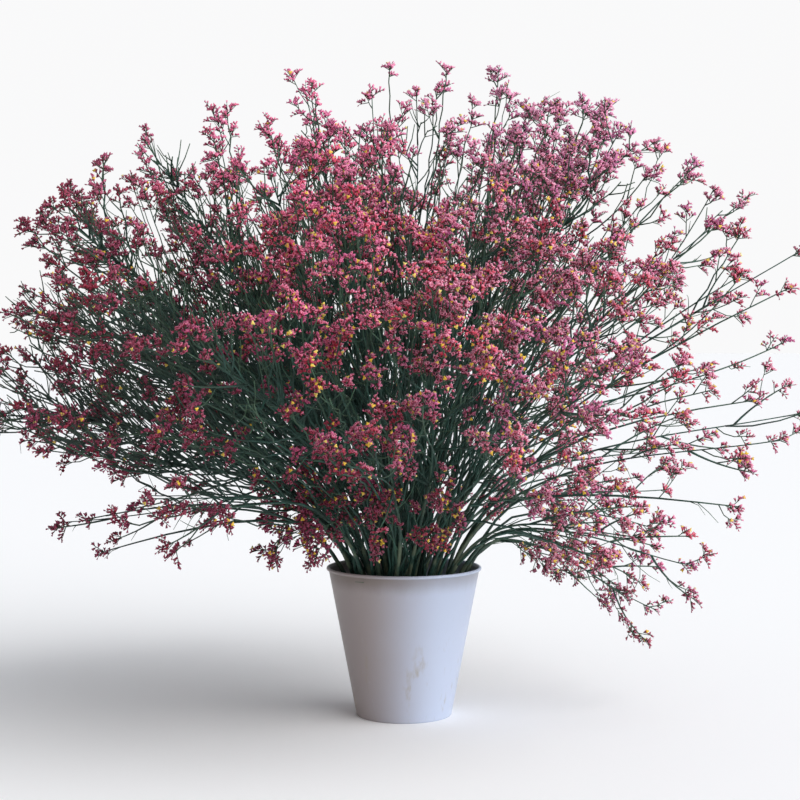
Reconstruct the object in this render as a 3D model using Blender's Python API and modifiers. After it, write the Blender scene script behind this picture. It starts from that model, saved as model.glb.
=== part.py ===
"""Bunch of dried statice standing in a tapered white florist's bucket.

Metres, +Z up, origin at the centre of the bucket's foot, +X to the photo's right, the
camera's side at -Y. Every flowering stem is one solid: a long stem, its forks and side
branches, and a plain spindle for each flower spike.
"""

import cmath
import math
import random

import bmesh
import bpy
import numpy as np
from mathutils import Matrix, Vector

# Bucket
BUCKET_HEIGHT = 0.190
MOUTH_RADIUS = 0.0965
FOOT_RADIUS = 0.0610
WALL = 0.0018
FLOOR_THICKNESS = 0.0022
FOOT_RECESS = 0.0020
FOOT_RING_WIDTH = 0.0050
LIP_RADIUS = 0.0022
INNER_CORNER = 0.004
INNER_LIP_FLARE = 0.0008
INNER_LIP_DROP = 0.006
LIP_HEIGHT = 2.2 * LIP_RADIUS
WALL_STEP = 0.0004
FOOT_BEVEL = (0.0008, 0.0030)
RECESS_SLOPE = 0.0012
BUCKET_STEPS = 40

# How the stems stand: a sunflower packing, twisted between the foot and the mouth
STEM_COUNT = 46
GOLDEN_ANGLE = math.pi * (3.0 - math.sqrt(5.0))
BUNCH_TURN = 0.35
FOOT_SPREAD = 0.046
MOUTH_SPREAD = 0.0875
SPIRAL_TWIST = math.radians(58)
SEAT_GAP = 0.0003
STEM_RADIUS = 0.0028
STEM_TIP_RADIUS = 0.0010
STEM_TAPER = 2.0
STEM_STEPS = 40
STEM_PULL = 0.38
SWAY = (0.003, 0.007)
SWAY_TURNS = 9.0
SWAY_GAIN = 3.0
AZIMUTH_JITTER = 0.06
TILT_JITTER = (0.97, 1.02)
REACH_JITTER = (0.93, 1.0)

# How far the heads lean and reach from the mouth's centre, by tilt from upright
LEFT_TILT, RIGHT_TILT, DEPTH_TILT = math.radians(90), math.radians(107), math.radians(76)
OVER_TILT = 1.13
DEPTH_SHARE = 0.80
REACH_TILTS = (0.0, 30.0, 45.0, 60.0, 68.0, 76.0, 86.0, 96.0, 107.0)
REACH_LEFT = (0.620, 0.635, 0.645, 0.630, 0.590, 0.545, 0.430, 0.310, 0.240)
REACH_RIGHT = (0.620, 0.640, 0.670, 0.640, 0.595, 0.430, 0.380, 0.365, 0.340)

# Forks that run up beside their stem, then short side branches: (place along the stem,
# length, angle from the stem)
FORKS = ((0.04, 0.86, 13.0), (0.24, 0.64, 21.0))
SIDES = ((0.50, 0.130, 44.0), (0.67, 0.105, 46.0), (0.83, 0.080, 42.0))
LONGEST_SIDE = 0.15
PLACE_JITTER = 0.03
LENGTH_JITTER = (0.88, 1.06)
ANGLE_JITTER = (0.85, 1.15)
STRAIGHTENING = 0.55
FORK_RADIUS = 0.0016
BRANCH_RADIUS = 0.0011
BRANCH_STEPS = 12
SPIKE_LENGTH = 0.026
SPIKE_RADIUS = 0.0027
SPIKE_TIP_RADIUS = 0.0010
SPIKE_WIDEST = 0.35

# How branches are kept clear of each other: the gap, then the turns (in golden angles) and
# the shortening from one try to the next
APART = 2 * SPIKE_RADIUS + 0.0015
OWN_APART = 1.2 * SPIKE_RADIUS
JOINT_POINTS = 12
FINE_SPACING = 0.003
NEAR = 0.02
STEM_TURN, TRY_TURN, TRY_SHRINK = 0.3, 0.37, 0.03
PLACING_TRIES = 16
SEED = 11

STEM_GREEN = (0.020, 0.052, 0.036, 1.0)
BUCKET_WHITE = (0.62, 0.64, 0.70, 1.0)


def clear_scene():
    """Removes every object of the startup scene."""
    for thing in list(bpy.data.objects):
        bpy.data.objects.remove(thing)


def collection(name):
    """A new collection in the scene."""
    made = bpy.data.collections.new(name)
    bpy.context.scene.collection.children.link(made)
    return made


def material(name, colour, roughness):
    """A plain Principled material."""
    made = bpy.data.materials.new(name)
    made.use_nodes = True
    shader = made.node_tree.nodes["Principled BSDF"]
    shader.inputs["Base Color"].default_value = colour
    shader.inputs["Roughness"].default_value = roughness
    shader.inputs["Metallic"].default_value = 0.0
    return made


# The bucket


def lip_points(radius, height):
    """The rolled lip's outside, from its inner top edge round to the wall."""
    centre = radius + LIP_RADIUS - WALL
    turns = [math.radians(a) for a in (150, 100, 50, 0, -50, -100)]
    return [
        (centre + LIP_RADIUS * math.cos(a), height + LIP_RADIUS * (math.sin(a) - 1.0))
        for a in turns
    ]


def bucket_profile():
    """The turned outline, from the middle of the inner floor round to the underside."""
    floor = FLOOR_THICKNESS + FOOT_RECESS
    inner_foot = FOOT_RADIUS - WALL
    recess_edge = FOOT_RADIUS - FOOT_RING_WIDTH
    return [
        (0.0, floor),
        (inner_foot - INNER_CORNER, floor),
        (inner_foot, floor + INNER_CORNER),
        (MOUTH_RADIUS - WALL - INNER_LIP_FLARE, BUCKET_HEIGHT - INNER_LIP_DROP),
        *lip_points(MOUTH_RADIUS, BUCKET_HEIGHT),
        (MOUTH_RADIUS - WALL_STEP, BUCKET_HEIGHT - LIP_HEIGHT),
        (FOOT_RADIUS + WALL_STEP, FOOT_BEVEL[1]),
        (FOOT_RADIUS - FOOT_BEVEL[0], 0.0),
        (recess_edge, 0.0),
        (recess_edge - RECESS_SLOPE, FOOT_RECESS),
        (0.0, FOOT_RECESS),
    ]


def build_bucket(parts, white):
    """The thin-walled tapered bucket, open at the top."""
    mesh = bpy.data.meshes.new("bucket")
    outline = bmesh.new()
    corners = [outline.verts.new((r, 0.0, z)) for r, z in bucket_profile()]
    for a, b in zip(corners, corners[1:]):
        outline.edges.new((a, b))
    outline.to_mesh(mesh)
    outline.free()
    bucket = bpy.data.objects.new("bucket", mesh)
    parts.objects.link(bucket)
    turn = bucket.modifiers.new("Turn", "SCREW")
    turn.steps = turn.render_steps = BUCKET_STEPS
    turn.use_merge_vertices = True
    turn.merge_threshold = 0.0001
    turn.use_smooth_shade = True
    mesh.materials.append(white)
    return bucket


# The bunch's layout. Each stem's own place in the sunflower packing sets where its foot
# stands, where it passes the mouth and which way its head leans, so no two stems cross.


def packing_place(index):
    """(share of the bunch's radius, angle) of a stem in the sunflower packing."""
    return math.sqrt((index + 0.5) / STEM_COUNT), index * GOLDEN_ANGLE + BUNCH_TURN


def flat_point(place, height):
    """A complex number and a height as a point."""
    return Vector((place.real, place.imag, height))


def direction(tilt, azimuth):
    """The unit vector with this lean from upright, towards this azimuth."""
    side = math.sin(tilt)
    return Vector((side * math.cos(azimuth), side * math.sin(azimuth), math.cos(tilt)))


def tilt_at(share, azimuth):
    """How far a stem leans from upright, by its share of the bunch's radius."""
    side = RIGHT_TILT if math.cos(azimuth) > 0.0 else LEFT_TILT
    widest = DEPTH_TILT + (side - DEPTH_TILT) * math.cos(azimuth) ** 4
    return math.acos(1.0 - share**2 * (1.0 - math.cos(widest)))


def reach_at(tilt, azimuth):
    """How far a head with this lean reaches from the mouth's centre."""
    degrees = math.degrees(tilt)
    left = float(np.interp(degrees, REACH_TILTS, REACH_LEFT))
    right = float(np.interp(degrees, REACH_TILTS, REACH_RIGHT))
    reach = left + (right - left) * (0.5 + 0.5 * math.cos(azimuth))
    return reach * (1.0 - (1.0 - DEPTH_SHARE) * (math.sin(azimuth) * math.sin(tilt)) ** 2)


def stem_path(index, dice):
    """The stem's centreline, from its cut foot to the tip of its head, as fine points."""
    share, angle = packing_place(index)
    foot = FOOT_SPREAD * share * cmath.exp(1j * (angle - SPIRAL_TWIST))
    mouth = MOUTH_SPREAD * share * cmath.exp(1j * (angle + SPIRAL_TWIST))
    slope = math.atan2(abs(mouth - foot), BUCKET_HEIGHT)
    lowest = FLOOR_THICKNESS + FOOT_RECESS + SEAT_GAP + STEM_RADIUS * math.sin(slope)
    start, rim = flat_point(foot, lowest), flat_point(mouth, BUCKET_HEIGHT)
    leaving = (rim - start).normalized()

    azimuth = angle + SPIRAL_TWIST + dice.uniform(-AZIMUTH_JITTER, AZIMUTH_JITTER)
    tilt = tilt_at(share, azimuth) * dice.uniform(*TILT_JITTER)
    reach = reach_at(tilt, azimuth) * dice.uniform(*REACH_JITTER)
    tip = Vector((0.0, 0.0, BUCKET_HEIGHT)) + direction(tilt, azimuth) * reach
    arriving = direction(tilt * OVER_TILT, azimuth)
    pull = (tip - rim).length * STEM_PULL
    bends = (rim, rim + leaving * pull, tip - arriving * pull, tip)

    sway = direction(math.pi / 2, dice.uniform(0.0, 2 * math.pi)) * dice.uniform(*SWAY)
    phase = dice.uniform(0.0, 2 * math.pi)
    points = [start]
    for k in range(STEM_STEPS + 1):
        t = k / STEM_STEPS
        weights = ((1 - t) ** 3, 3 * t * (1 - t) ** 2, 3 * t**2 * (1 - t), t**3)
        place = sum((w * b for w, b in zip(weights, bends)), Vector())
        points.append(place + sway * math.sin(phase + SWAY_TURNS * t) * min(1.0, SWAY_GAIN * t))
    points[1] = rim
    return points


def branch_path(points, at, roll, angle, length):
    """A branch that leaves the stem at a fine point, then bends back to run beside it."""
    stem_step = (points[-1] - points[-2]).length
    path = [points[at]]
    across = None
    for k in range(BRANCH_STEPS):
        along = k / BRANCH_STEPS
        beside = min(len(points) - 2, at + int(along * length / stem_step))
        ahead = (points[beside + 1] - points[beside]).normalized()
        if across is None:
            across = Matrix.Rotation(roll, 3, ahead) @ ahead.orthogonal().normalized()
        across = (across - ahead * across.dot(ahead)).normalized()
        lean = angle * (1.0 - STRAIGHTENING * along)
        way = ahead * math.cos(lean) + across * math.sin(lean)
        path.append(path[-1] + way * (length / BRANCH_STEPS))
    return path


def filled_in(path):
    """The path's points and more between them, a fine spacing apart at most, as an array."""
    points = [path[0]]
    for a, b in zip(path, path[1:]):
        parts = max(1, math.ceil((b - a).length / FINE_SPACING))
        points += [a.lerp(b, (k + 1) / parts) for k in range(parts)]
    return np.array(points, float)


def gap_between(some, others):
    """The shortest distance between two sets of points."""
    near = others[
        ((others > some.min(0) - NEAR) & (others < some.max(0) + NEAR)).all(axis=1)
    ]
    if not len(near):
        return 1.0
    return float(np.linalg.norm(some[:, None, :] - near[None, :, :], axis=2).min())


def branch_plan(stem_length, dice):
    """(fine point, length, angle) of each branch of a stem, from the mouth upwards."""
    plan = []
    for along, share, angle in FORKS:
        plan.append((along, share * stem_length, angle))
    plan += SIDES
    return [
        (
            1 + round((along + dice.uniform(-PLACE_JITTER, PLACE_JITTER)) * STEM_STEPS),
            length * dice.uniform(*LENGTH_JITTER),
            math.radians(angle) * dice.uniform(*ANGLE_JITTER),
        )
        for along, length, angle in plan
    ]


def grow_bunch():
    """Every stem as its fine centreline and its branches, none touching another stem."""
    dice = random.Random(SEED)
    stems = [stem_path(i, dice) for i in range(STEM_COUNT)]
    taken = [filled_in(points) for points in stems]
    grown = []
    for i, points in enumerate(stems):
        others = np.concatenate([t for k, t in enumerate(taken) if k != i])
        stem_length = sum((b - a).length for a, b in zip(points[1:], points[2:]))
        branches = []
        for b, (at, length, angle) in enumerate(branch_plan(stem_length, dice)):
            for attempt in range(PLACING_TRIES):
                roll = (b + STEM_TURN * i + TRY_TURN * attempt) * GOLDEN_ANGLE
                size = length * (1.0 - TRY_SHRINK * attempt)
                path = branch_path(points, at, roll, angle, size)
                fine = filled_in(path)
                own = gap_between(fine[JOINT_POINTS:], taken[i])
                if gap_between(fine, others) > APART and own > OWN_APART:
                    branches.append((at, path))
                    taken[i] = np.concatenate([taken[i], fine])
                    break
        grown.append((points, branches))
    return grown


# The bunch's solids


def tube(name, places, radii, sides_level):
    """A closed tapered tube through the places, as a mesh object."""
    curve = bpy.data.curves.new(name, "CURVE")
    curve.dimensions = "3D"
    curve.bevel_depth = 1.0
    curve.bevel_resolution = sides_level
    curve.use_fill_caps = True
    spline = curve.splines.new("POLY")
    spline.points.add(len(places) - 1)
    for point, place, radius in zip(spline.points, places, radii):
        point.co = (*place, 1.0)
        point.radius = radius
    drawn = bpy.data.objects.new(name, curve)
    bpy.context.scene.collection.objects.link(drawn)
    bpy.context.view_layer.update()
    graph = bpy.context.evaluated_depsgraph_get()
    mesh = bpy.data.meshes.new_from_object(drawn.evaluated_get(graph))
    bpy.data.objects.remove(drawn)
    welded = bmesh.new()
    welded.from_mesh(mesh)
    bmesh.ops.remove_doubles(welded, verts=welded.verts, dist=0.00001)
    bmesh.ops.recalc_face_normals(welded, faces=welded.faces)
    for face in welded.faces:
        face.smooth = True
    welded.to_mesh(mesh)
    welded.free()
    made = bpy.data.objects.new(name, mesh)
    bpy.context.scene.collection.objects.link(made)
    return made


def united(base, others):
    """The base's mesh joined with the others', which are removed."""
    for other in others:
        join = base.modifiers.new("Join", "BOOLEAN")
        join.operation = "UNION"
        join.solver = "EXACT"
        join.object = other
    bpy.context.view_layer.update()
    graph = bpy.context.evaluated_depsgraph_get()
    mesh = bpy.data.meshes.new_from_object(base.evaluated_get(graph))
    base.modifiers.clear()
    base.data = mesh
    for other in others:
        bpy.data.objects.remove(other)
    return base


def with_spike(path):
    """A branch's bare stretch and its flower spike, as places and radii."""
    total = sum((b - a).length for a, b in zip(path, path[1:]))
    bare = 1.0 - SPIKE_LENGTH / total
    legs, first = (1, BRANCH_RADIUS) if total < LONGEST_SIDE else (3, FORK_RADIUS)

    def at(share):
        whole = share * (len(path) - 1)
        k = min(int(whole), len(path) - 2)
        return path[k].lerp(path[k + 1], whole - k)

    places = [at(bare * k / legs) for k in range(legs + 1)]
    places += [at(bare + (1.0 - bare) * SPIKE_WIDEST), path[-1]]
    radii = [first + (BRANCH_RADIUS - first) * k / legs for k in range(legs + 1)]
    radii += [SPIKE_RADIUS, SPIKE_TIP_RADIUS]
    return places, radii


def build_stem(index, points, branches, parts, green):
    """One flowering stem with its branches and spikes as one solid."""
    kept = sorted({0, 1, *(at for at, _ in branches), STEM_STEPS, STEM_STEPS + 1})
    places = [points[k] for k in kept]
    shares = [max(0, k - 1) / STEM_STEPS for k in kept]
    thinning = STEM_RADIUS - STEM_TIP_RADIUS
    radii = [STEM_TIP_RADIUS + thinning * (1.0 - s) ** STEM_TAPER for s in shares]
    radii[-2:] = [SPIKE_RADIUS, SPIKE_TIP_RADIUS]
    stem = tube(f"statice_stem_{index + 1:02d}", places, radii, 1)
    twigs = [tube("branch", *with_spike(path), 0) for _, path in branches]
    stem = united(stem, twigs)
    bpy.context.scene.collection.objects.unlink(stem)
    parts.objects.link(stem)
    stem.data.materials.clear()
    stem.data.materials.append(green)
    return stem


def main():
    """Clears the scene and builds the bucket and the bunch."""
    clear_scene()
    parts = collection("dried_statice")
    green = material("stem_green", STEM_GREEN, 0.6)
    white = material("bucket_white", BUCKET_WHITE, 0.4)
    build_bucket(parts, white)
    for index, (points, branches) in enumerate(grow_bunch()):
        build_stem(index, points, branches, parts, green)


main()
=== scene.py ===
"""Looks of a bunch of dried statice standing in a tapered white bucket.

Metres, +Z up, origin at the centre of the bucket's foot, +X to the photograph's right.
The stems and their main branches grow by the same rules and the same seeded draws as the
solid model's, so each dressed stem stands where its solid does. Finer twigs, the flower
spikes and the flowers themselves are grown on them here.
"""

import cmath
import logging
import math
import random
from collections.abc import Iterable, Sequence
from dataclasses import dataclass, field, replace
from enum import Enum
from typing import Any

import bpy
import numpy as np
from mathutils import Matrix, Vector


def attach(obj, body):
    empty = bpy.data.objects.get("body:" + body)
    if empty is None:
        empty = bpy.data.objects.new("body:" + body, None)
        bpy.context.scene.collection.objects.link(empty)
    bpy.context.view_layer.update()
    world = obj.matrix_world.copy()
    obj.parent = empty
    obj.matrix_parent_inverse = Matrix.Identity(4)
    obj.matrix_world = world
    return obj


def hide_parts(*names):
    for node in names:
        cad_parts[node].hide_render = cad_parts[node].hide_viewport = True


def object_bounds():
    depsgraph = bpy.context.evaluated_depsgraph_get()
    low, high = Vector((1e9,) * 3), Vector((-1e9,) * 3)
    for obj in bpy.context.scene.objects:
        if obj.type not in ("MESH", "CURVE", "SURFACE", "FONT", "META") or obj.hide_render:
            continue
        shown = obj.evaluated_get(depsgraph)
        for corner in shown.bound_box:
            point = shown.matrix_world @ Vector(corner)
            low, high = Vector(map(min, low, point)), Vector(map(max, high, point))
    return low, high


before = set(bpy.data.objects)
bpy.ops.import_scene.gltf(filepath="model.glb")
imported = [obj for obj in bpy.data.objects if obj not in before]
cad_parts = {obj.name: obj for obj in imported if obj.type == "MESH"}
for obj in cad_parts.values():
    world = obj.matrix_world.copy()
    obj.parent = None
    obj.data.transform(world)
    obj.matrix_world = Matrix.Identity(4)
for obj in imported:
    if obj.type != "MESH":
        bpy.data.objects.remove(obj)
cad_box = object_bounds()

log = logging.getLogger("statice")

Colour = tuple[float, float, float]
Pair = tuple[float, float]
Stops = Sequence[tuple[float, Colour]]

UP = Vector((0.0, 0.0, 1.0))
GOLDEN_ANGLE = math.pi * (3.0 - math.sqrt(5.0))
BODY = "root"
BUCKET_HEIGHT = 0.190
BUCKET_FLOOR = 0.0042
MOUTH = Vector((0.0, 0.0, BUCKET_HEIGHT))
FIRST_STEM_SEED = 1000
NEAR_AXIS = 0.1

# The bake's map: a copy keeps this far from its cell's edges, and a tube's stretch, which
# has a least length in metres, holds the tube's wall and the circle of its caps.
CELL_MARGIN = 0.06
SHORTEST_STRETCH = 0.006
WALL_START, WALL_SIZE = (0.04, 0.06), (0.80, 0.88)
CAP_CENTRE, CAP_RADII = (0.90, 0.50), (0.03, 0.30)


class Slot(Enum):
    """The record's material slots."""

    BUCKET = "bucket_plastic"
    STEM = "stem_green"
    CALYX = "calyx_pink"
    COROLLA = "corolla_yellow"


# Shaders


@dataclass(frozen=True)
class Value:
    """A shader socket that takes part in Python arithmetic."""

    wiring: "Wiring"
    socket: Any

    def math(self, operation: str, other: "Value | float", clamp: bool = False) -> "Value":
        """The result of one Math node on this value and another."""
        settings = {"operation": operation, "use_clamp": clamp}
        return self.wiring.node("ShaderNodeMath", settings, {0: self, 1: other})

    def __add__(self, other: "Value | float") -> "Value":
        """This plus the other."""
        return self.math("ADD", other)

    def __mul__(self, other: "Value | float") -> "Value":
        """This times the other."""
        return self.math("MULTIPLY", other)

    def __sub__(self, other: "Value | float") -> "Value":
        """This less the other."""
        return self.math("SUBTRACT", other)

    def __rsub__(self, other: float) -> "Value":
        """A number less this."""
        return self * -1.0 + other

    __radd__ = __add__
    __rmul__ = __mul__

    def clamped(self) -> "Value":
        """This value, kept from 0 to 1."""
        return self.math("ADD", 0.0, clamp=True)

    def between(self, low: float, high: float) -> "Value":
        """0 where this is at or under low, 1 at or over high, smooth between."""
        inputs = {"Value": self, "From Min": low, "From Max": high}
        return self.wiring.node("ShaderNodeMapRange", {"interpolation_type": "SMOOTHSTEP"}, inputs)


class Wiring:
    """A node tree that is built by short calls."""

    def __init__(self, tree: Any) -> None:
        """Keeps Blender's own tree."""
        self.tree = tree

    def node(
        self,
        kind: str,
        settings: dict[str, Any] | None = None,
        inputs: dict[str | int, Any] | None = None,
        output: str | int = 0,
    ) -> Value:
        """Adds one node.

        Args:
            kind: The node's type.
            settings: Its own settings; a ramp's stops go under "stops".
            inputs: Values, colours or links of its sockets, by name or number.
            output: The name or number of the output that is wanted.

        Returns:
            That output.
        """
        made = self.tree.nodes.new(kind)
        for key, setting in (settings or {}).items():
            if key == "stops":
                self.set_stops(made.color_ramp, setting)
            else:
                setattr(made, key, setting)
        for key, given in (inputs or {}).items():
            self.feed(made.inputs[key], given)
        return Value(self, made.outputs[output])

    def set_stops(self, ramp: Any, stops: Stops) -> None:
        """Gives a colour ramp these stops."""
        while len(ramp.elements) < len(stops):
            ramp.elements.new(0.5)
        for element, (place, colour) in zip(ramp.elements, stops):
            element.position = place
            element.color = (*colour, 1.0)

    def feed(self, socket: Any, given: Any) -> None:
        """Links or sets one socket."""
        if isinstance(given, Value):
            self.tree.links.new(given.socket, socket)
        elif isinstance(given, tuple) and socket.type == "RGBA":
            socket.default_value = (*given, 1.0)
        else:
            socket.default_value = given

    def place(self, stretch: tuple[float, float, float] = (1.0, 1.0, 1.0)) -> Value:
        """Object coordinates, stretched."""
        place = self.node("ShaderNodeTexCoord", output="Object")
        return self.node("ShaderNodeMapping", None, {"Vector": place, "Scale": stretch})

    def part(self, place: Value, axis: str) -> Value:
        """One coordinate of a place."""
        return self.node("ShaderNodeSeparateXYZ", None, {0: place}, axis)

    def noise(
        self, place: Value, scale: float, detail: float = 2.0, roughness: float = 0.5
    ) -> Value:
        """Noise from 0 to 1 at a place."""
        inputs = {"Vector": place, "Scale": scale, "Detail": detail, "Roughness": roughness}
        return self.node("ShaderNodeTexNoise", {"noise_dimensions": "3D"}, inputs)

    def attribute(self, name: str) -> Value:
        """A number that the mesh holds for each point."""
        return self.node("ShaderNodeAttribute", {"attribute_name": name}, output="Fac")

    def ramp(self, factor: Value, stops: Stops) -> Value:
        """A colour read from stops."""
        return self.node("ShaderNodeValToRGB", {"stops": stops}, {"Fac": factor})

    def mix(self, factor: Value | float, first: Any, second: Any, blend: str = "MIX") -> Value:
        """Two colours mixed by a factor."""
        settings = {"data_type": "RGBA", "blend_type": blend}
        return self.node("ShaderNodeMix", settings, {"Factor": factor, 6: first, 7: second}, 2)

    def bump(self, height: Value, strength: float, distance: float) -> Value:
        """A normal raised by a height."""
        inputs = {"Height": height, "Strength": strength, "Distance": distance}
        return self.node("ShaderNodeBump", None, inputs)


class Shader(Wiring):
    """A material and its node tree."""

    def __init__(self, name: str) -> None:
        """Starts a material of this name with a bare Principled BSDF."""
        self.material = bpy.data.materials.new(name)
        self.material.use_nodes = True
        super().__init__(self.material.node_tree)
        self.principled = self.tree.nodes["Principled BSDF"]

    def surface(self, **sockets: Any) -> Any:
        """Feeds the Principled BSDF and returns the material.

        Args:
            sockets: Values or links, by socket name with _ for each space.

        Returns:
            The material.
        """
        for name, given in sockets.items():
            self.feed(self.principled.inputs[name.replace("_", " ")], given)
        return self.material


@dataclass(frozen=True)
class StemFinish:
    """Wiry, matt, blue-green stem, browner where it is old and thick, and darkened by painted shade
    low on the bunch's left.
    """

    deep: Colour = (0.008, 0.031, 0.021)
    green: Colour = (0.024, 0.090, 0.067)
    bloom: Colour = (0.070, 0.200, 0.165)
    old: Colour = (0.115, 0.130, 0.075)
    young: Colour = (0.090, 0.165, 0.080)
    # Painted shade: the near-black that stems take low on the bunch's left, away from the key
    # light.
    shaded: Colour = (0.004, 0.011, 0.008)
    patch_scale: float = 38.0
    streak_scale: float = 640.0
    shade_side: Pair = (-0.34, -0.06)
    shade_height: Pair = (0.44, 0.70)

    def material(self) -> Any:
        """Makes the finish's material."""
        shader = Shader("stem_green")
        place = shader.place()
        patches = shader.noise(place, self.patch_scale, 3.0)
        streaks = shader.noise(shader.place((1.0, 1.0, 0.16)), self.streak_scale, 2.0)
        age = shader.attribute("age")
        body = shader.mix(patches.between(0.35, 0.70), self.deep, self.green)
        body = shader.mix(streaks.between(0.52, 0.80) * 0.55, body, self.bloom)
        worn = (1.0 - age).between(0.60, 1.0) * patches.between(0.42, 0.62)
        body = shader.mix(worn * 0.8, body, self.old)
        body = shader.mix(age.between(0.55, 1.0) * 0.5, body, self.young)
        # Painted shade: in patches, stems darken towards the left and low down, where the bunch
        # shades itself.
        sideways = shader.part(place, "X") + (patches - 0.5) * 0.15
        below = 1.0 - shader.part(place, "Z").between(*self.shade_height)
        inside = (1.0 - sideways.between(*self.shade_side)) * below
        colour = shader.mix(inside * patches.between(0.30, 0.60) * 0.80, body, self.shaded)
        return shader.surface(
            Base_Color=colour,
            Roughness=streaks * 0.25 + 0.45,
            Normal=shader.bump(streaks, 0.35, 0.0004),
        )


@dataclass(frozen=True)
class CalyxFinish:
    """Dry papery flower cup: green-brown foot, maroon waist, pink mouth, and a throat darkened by
    painted shade; painted sunlight on cups high in the bunch, painted warm shade on its left,
    painted shadow low down and far left.
    """

    foot: Colour = (0.045, 0.060, 0.022)
    waist: Colour = (0.075, 0.005, 0.014)
    wall: Colour = (0.46, 0.034, 0.095)
    edge: Colour = (0.98, 0.47, 0.63)
    # Painted shade: the near-black throat darkens the sunk middle of each cup, where shade falls.
    throat: Colour = (0.085, 0.003, 0.014)
    violet: Colour = (0.62, 0.13, 0.38)
    scarlet: Colour = (0.64, 0.028, 0.060)
    faded: Colour = (0.80, 0.45, 0.52)
    sunlit: Colour = (0.90, 0.45, 0.72)
    # Painted shadow: the near-black that cups take low in the bunch and on its far left.
    dark: Colour = (0.10, 0.004, 0.019)
    # Painted warm shade: a tint that makes cups on the bunch's left redder and less blue, as warm
    # dim light would.
    glow: Colour = (1.12, 0.66, 0.80)
    sunlit_height: Pair = (0.58, 0.82)
    warm_shade_side: Pair = (-0.10, 0.10)
    dark_side: Pair = (-0.46, -0.12)
    dark_slope: Pair = (0.22, 0.54)

    def material(self) -> Any:
        """Makes the finish's material."""
        shader = Shader("calyx_pink")
        along, tint = shader.attribute("along"), shader.attribute("tint")
        mottle = shader.noise(shader.place(), 420.0, 2.0)
        shaded = along + (mottle - 0.5) * 0.16
        stops = (
            (0.00, self.foot),
            (0.17, self.foot),
            (0.30, self.waist),
            (0.48, self.wall),
            (0.66, self.edge),
            (0.74, self.edge),
            (0.80, self.wall),
            (0.92, self.throat),
        )
        cup = shader.ramp(shaded, stops)
        petal = along.between(0.25, 0.45)
        cup = shader.mix(tint.between(0.62, 0.95) * petal * 0.55, cup, self.violet)
        cup = shader.mix((1.0 - tint).between(0.60, 0.95) * petal * 0.65, cup, self.scarlet)
        patches = shader.noise(shader.place(), 9.0, 1.0)
        cup = shader.mix(patches.between(0.60, 0.80) * petal * 0.22, cup, self.faded)
        sideways = shader.part(shader.place(), "X") + (patches - 0.5) * 0.25
        height = shader.part(shader.place(), "Z") + (patches - 0.5) * 0.15
        cup = shader.mix(height.between(*self.sunlit_height) * petal * 0.40, cup, self.sunlit)
        # Painted warm shade: cups left of the middle take the warm tint, as if lit by warm dim
        # light from the left.
        warm = shader.mix(1.0, cup, self.glow, "MULTIPLY")
        cup = shader.mix((1.0 - sideways.between(*self.warm_shade_side)) * 0.85, cup, warm)
        # Painted shadow: cups darken low down and far to the left, where the bunch shades itself
        # from the key light.
        sunny = (height + sideways * 0.8).between(*self.dark_slope)
        painted_shadow_amount = 1.0 - sideways.between(*self.dark_side) * sunny
        colour = shader.mix(painted_shadow_amount.clamped() * 0.64, cup, self.dark)
        return shader.surface(Base_Color=colour, Roughness=mottle * 0.25 + 0.62)


@dataclass(frozen=True)
class CorollaFinish:
    """Small dry petals, warm yellow, greener and paler here and there."""

    heart: Colour = (0.74, 0.38, 0.020)
    petal: Colour = (0.92, 0.66, 0.075)
    pale: Colour = (0.86, 0.80, 0.26)

    def material(self) -> Any:
        """Makes the finish's material."""
        shader = Shader("corolla_yellow")
        along, tint = shader.attribute("along"), shader.attribute("tint")
        mottle = shader.noise(shader.place(), 500.0, 2.0)
        petal = shader.mix(tint.between(0.35, 0.95), self.petal, self.pale)
        colour = shader.mix((along + mottle * 0.3).between(0.55, 1.2), petal, self.heart)
        return shader.surface(Base_Color=colour, Roughness=mottle * 0.2 + 0.55)


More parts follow.
